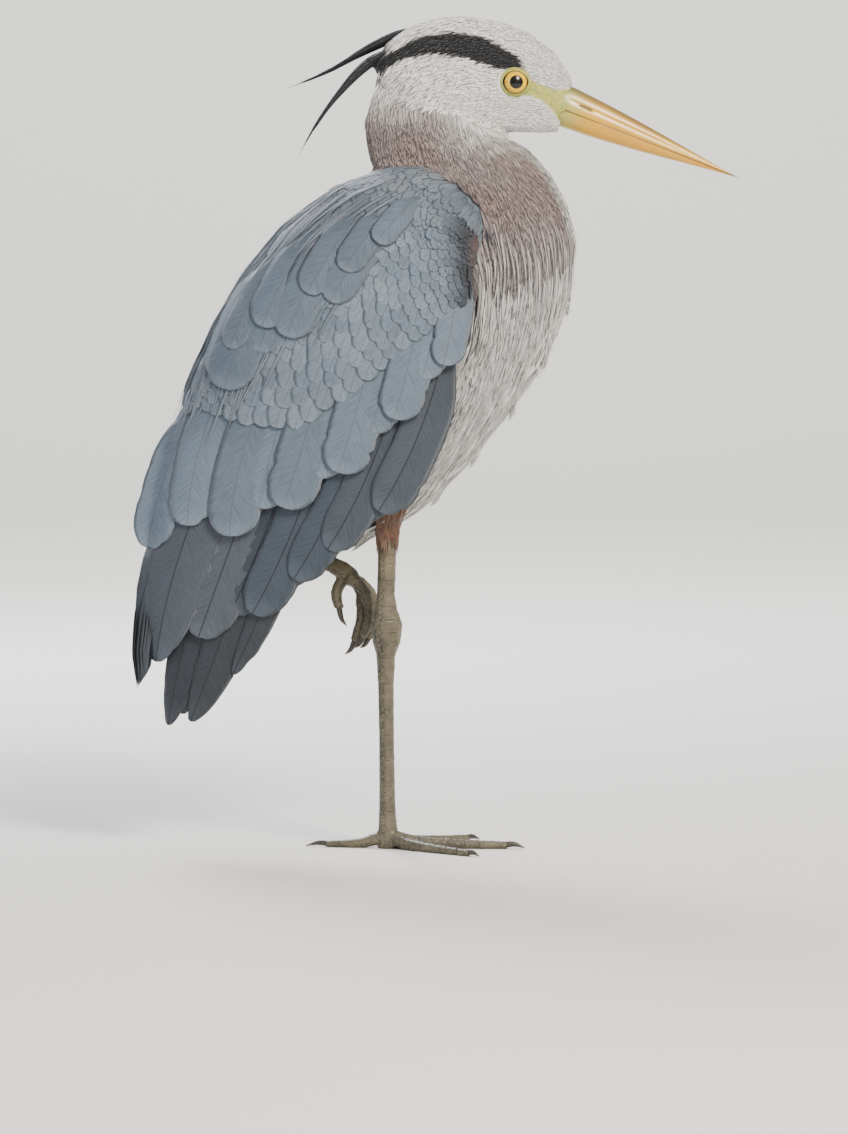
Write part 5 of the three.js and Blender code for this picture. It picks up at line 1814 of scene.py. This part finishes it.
def lid_ring(side):
    turn = np.linspace(0, 2 * math.pi, LID_AROUND, endpoint=False)
    ahead, above = np.cos(turn), np.sin(turn)
    rim = 8.95 - 0.75 * np.clip(above, 0, 1) ** 2 - 0.2 * np.clip(-above, 0, 1) ** 2
    rim = rim + 0.9 * np.clip(ahead, 0, 1) ** 8 + 0.35 * np.clip(-ahead, 0, 1) ** 8
    outer = 12.6 + 1.6 * np.clip(ahead, 0, 1) ** 4
    levels = []
    for x, z in zip(EYE_X + outer * ahead, EYE_Z + outer * above):
        hit = skin.tree.ray_cast((x, side * 60, z), (0, -side, 0))
        levels.append(abs(hit[0][1]) if hit[0] else EYE_SIDE)
    level = np.array(levels)
    for _ in range(6):
        level = 0.5 * level + 0.25 * (np.roll(level, 1) + np.roll(level, -1))
    ball = EYE_SIDE + EYE_FLATTENED * np.sqrt(np.clip(EYE_RADIUS ** 2 - rim ** 2, 0.1, None))
    rings, values = [], []
    for share in np.linspace(0, 1, LID_RINGS):
        if share < 0.12:
            reach, out = rim + 0.25, ball - 1.4
        else:
            t = (share - 0.12) / 0.88
            reach = rim + (outer - rim) * t
            fold = 0.75 * math.sin(math.pi * min(1, t * 1.5)) * (1 - 0.4 * t)
            fold = fold + 0.28 * math.exp(-((t - 0.55) / 0.12) ** 2)
            out = (ball + 0.25) * (1 - t) ** 1.4 + (level - 0.3) * (1 - (1 - t) ** 1.4) + fold
            out = out + 0.07 * np.sin(turn * 41 + 5 * t) * t
        rings.append(np.stack([EYE_X + reach * ahead, side * out, EYE_Z + reach * above], -1))
        values.append(np.stack([np.full(LID_AROUND, share), turn, reach], -1))
    rings.append(rings[-1] - [0, side * LID_INSIDE, 0])
    values.append(values[-1])
    grid = np.arange(len(rings) * LID_AROUND).reshape(-1, LID_AROUND)
    quads = ring_faces(np.concatenate([grid, grid[:1]]), side == LEFT)
    mesh = mesh_from_arrays(f"lids_{LABELS[side]}", np.concatenate(rings), quads)
    put_vectors(mesh, "lid", np.concatenate(values))
    return mesh


def lid_skin():
    material, tree = start_material("lid_skin")
    share = stored(tree, "lid")[0]
    place = object_place(tree)
    grain = voronoi(tree, place, 1300.0)
    colour = mix(tree, ramp(tree, noise(tree, place, 300.0, 3.0), 0.3, 0.7), "8f9a4f", "b5a94c")
    colour = mix(tree, ramp(tree, share, 0.62, 0.95, 0.0, 0.5), colour, "5f6436")
    colour = mix(tree, ramp(tree, share, 0.36, 0.2), colour, "1c1b16")
    return finished(material, Base_Color=colour, Roughness=ramp(tree, grain, 0.0, 0.6, 0.55, 0.38),
                    Normal=relief(tree, grain, 0.4, 0.0003))


lid_material = lid_skin()
for side in SIDES:
    show(f"lids_{LABELS[side]}", lid_ring(side), "face_feathers", material=lid_material)

# %% [markdown]
# ## The claws
# Each claw is a curved cone of dark horn, ridged above and worn paler at its tip. The hind one is the
# longest.

# %% Claws of both feet
CLAW_RINGS, CLAW_AROUND, CLAW_RIDGE = 16, 12, 0.18


def claw_tube(path, radii):
    """Rings of one claw along a path of points, each with its half height and half width."""
    line, size = smooth_path(path, CLAW_RINGS), smooth_path(radii, CLAW_RINGS)
    forward = unit(np.gradient(line, axis=0))
    reference = np.cross(forward[0], [0, 0, 1.0]) if abs(forward[0, 2]) < 0.9 else np.array([0, 1.0, 0])
    side = unit(np.cross(unit(np.cross(reference, forward)), forward))
    upward = np.cross(side, forward)
    phi = np.linspace(0, 2 * math.pi, CLAW_AROUND, endpoint=False)
    ridge = 1 + CLAW_RIDGE * np.clip(np.sin(phi), 0, 1) ** 3
    places = line[:, None] + side[:, None] * (size[:, 1:2] * np.cos(phi))[..., None]
    places = places + upward[:, None] * (size[:, :1] * np.sin(phi) * ridge)[..., None]
    along = np.linspace(0, 1, CLAW_RINGS)[:, None]
    return places, np.stack(np.broadcast_arrays(along, np.sin(phi), 0 * along), -1)


def claw_horn():
    material, tree = start_material("claw_horn")
    grain = noise(tree, object_place(tree), 900.0, 4.0)
    colour = mix(tree, ramp(tree, grain, 0.35, 0.7), "2a2723", "4a443b")
    colour = mix(tree, ramp(tree, stored(tree, "horn")[0], 0.6, 1.0, 0.0, 0.6), colour, "8a7f6a")
    return finished(material, Base_Color=colour, Roughness=ramp(tree, grain, 0.3, 0.7, 0.3, 0.5),
                    Normal=relief(tree, grain, 0.3, 0.0002))


claw_tubes = []
for angle, length, thick, claw in TOES.values():
    rise = 0.6 * thick
    claw_tubes.append(claw_tube(
        [along_floor(angle, length - 4, rise), along_floor(angle, length + 0.4 * claw, 1.2 * rise),
         along_floor(angle, length + claw, 0.8)],
        [(0.46 * thick, 0.40 * thick, 0), (0.36 * thick, 0.28 * thick, 0), (0.35, 0.3, 0)]))
for name, path in HANGING_TOES.items():
    before, last = np.array(path[-2:], float)
    ahead = unit(last - before)
    curl = np.array([ahead[2], 0, -ahead[0]]) * (-0.5 if name == "hind" else 0.5)
    claw = TOES[name][3]
    claw_tubes.append(claw_tube(
        [last - ahead * 0.15 * claw, last + ahead * 0.5 * claw + curl * 0.06 * claw,
         last + ahead * 0.9 * claw + curl * 0.45 * claw], [(2.4, 2.0, 0), (1.8, 1.5, 0), (0.4, 0.4, 0)]))
claws = bmesh.new()
for places, values in claw_tubes:
    claws.from_mesh(closed_tube(places, values, "horn", "claw"))
claw_mesh = bpy.data.meshes.new("claws")
bmesh.ops.recalc_face_normals(claws, faces=claws.faces)
claws.to_mesh(claw_mesh)
claws.free()
claw_mesh.polygons.foreach_set("use_smooth", [True] * len(claw_mesh.polygons))
cad_claws = [name for name in nodes if name.startswith("claw")]
show("claws", claw_mesh, "claw_horn", *cad_claws, material=claw_horn())

# %% [markdown]
# ## The end
# The feathers may stand a little proud of the solids, but the bird keeps its size.

# %% Update the scene
bpy.context.view_layer.update()
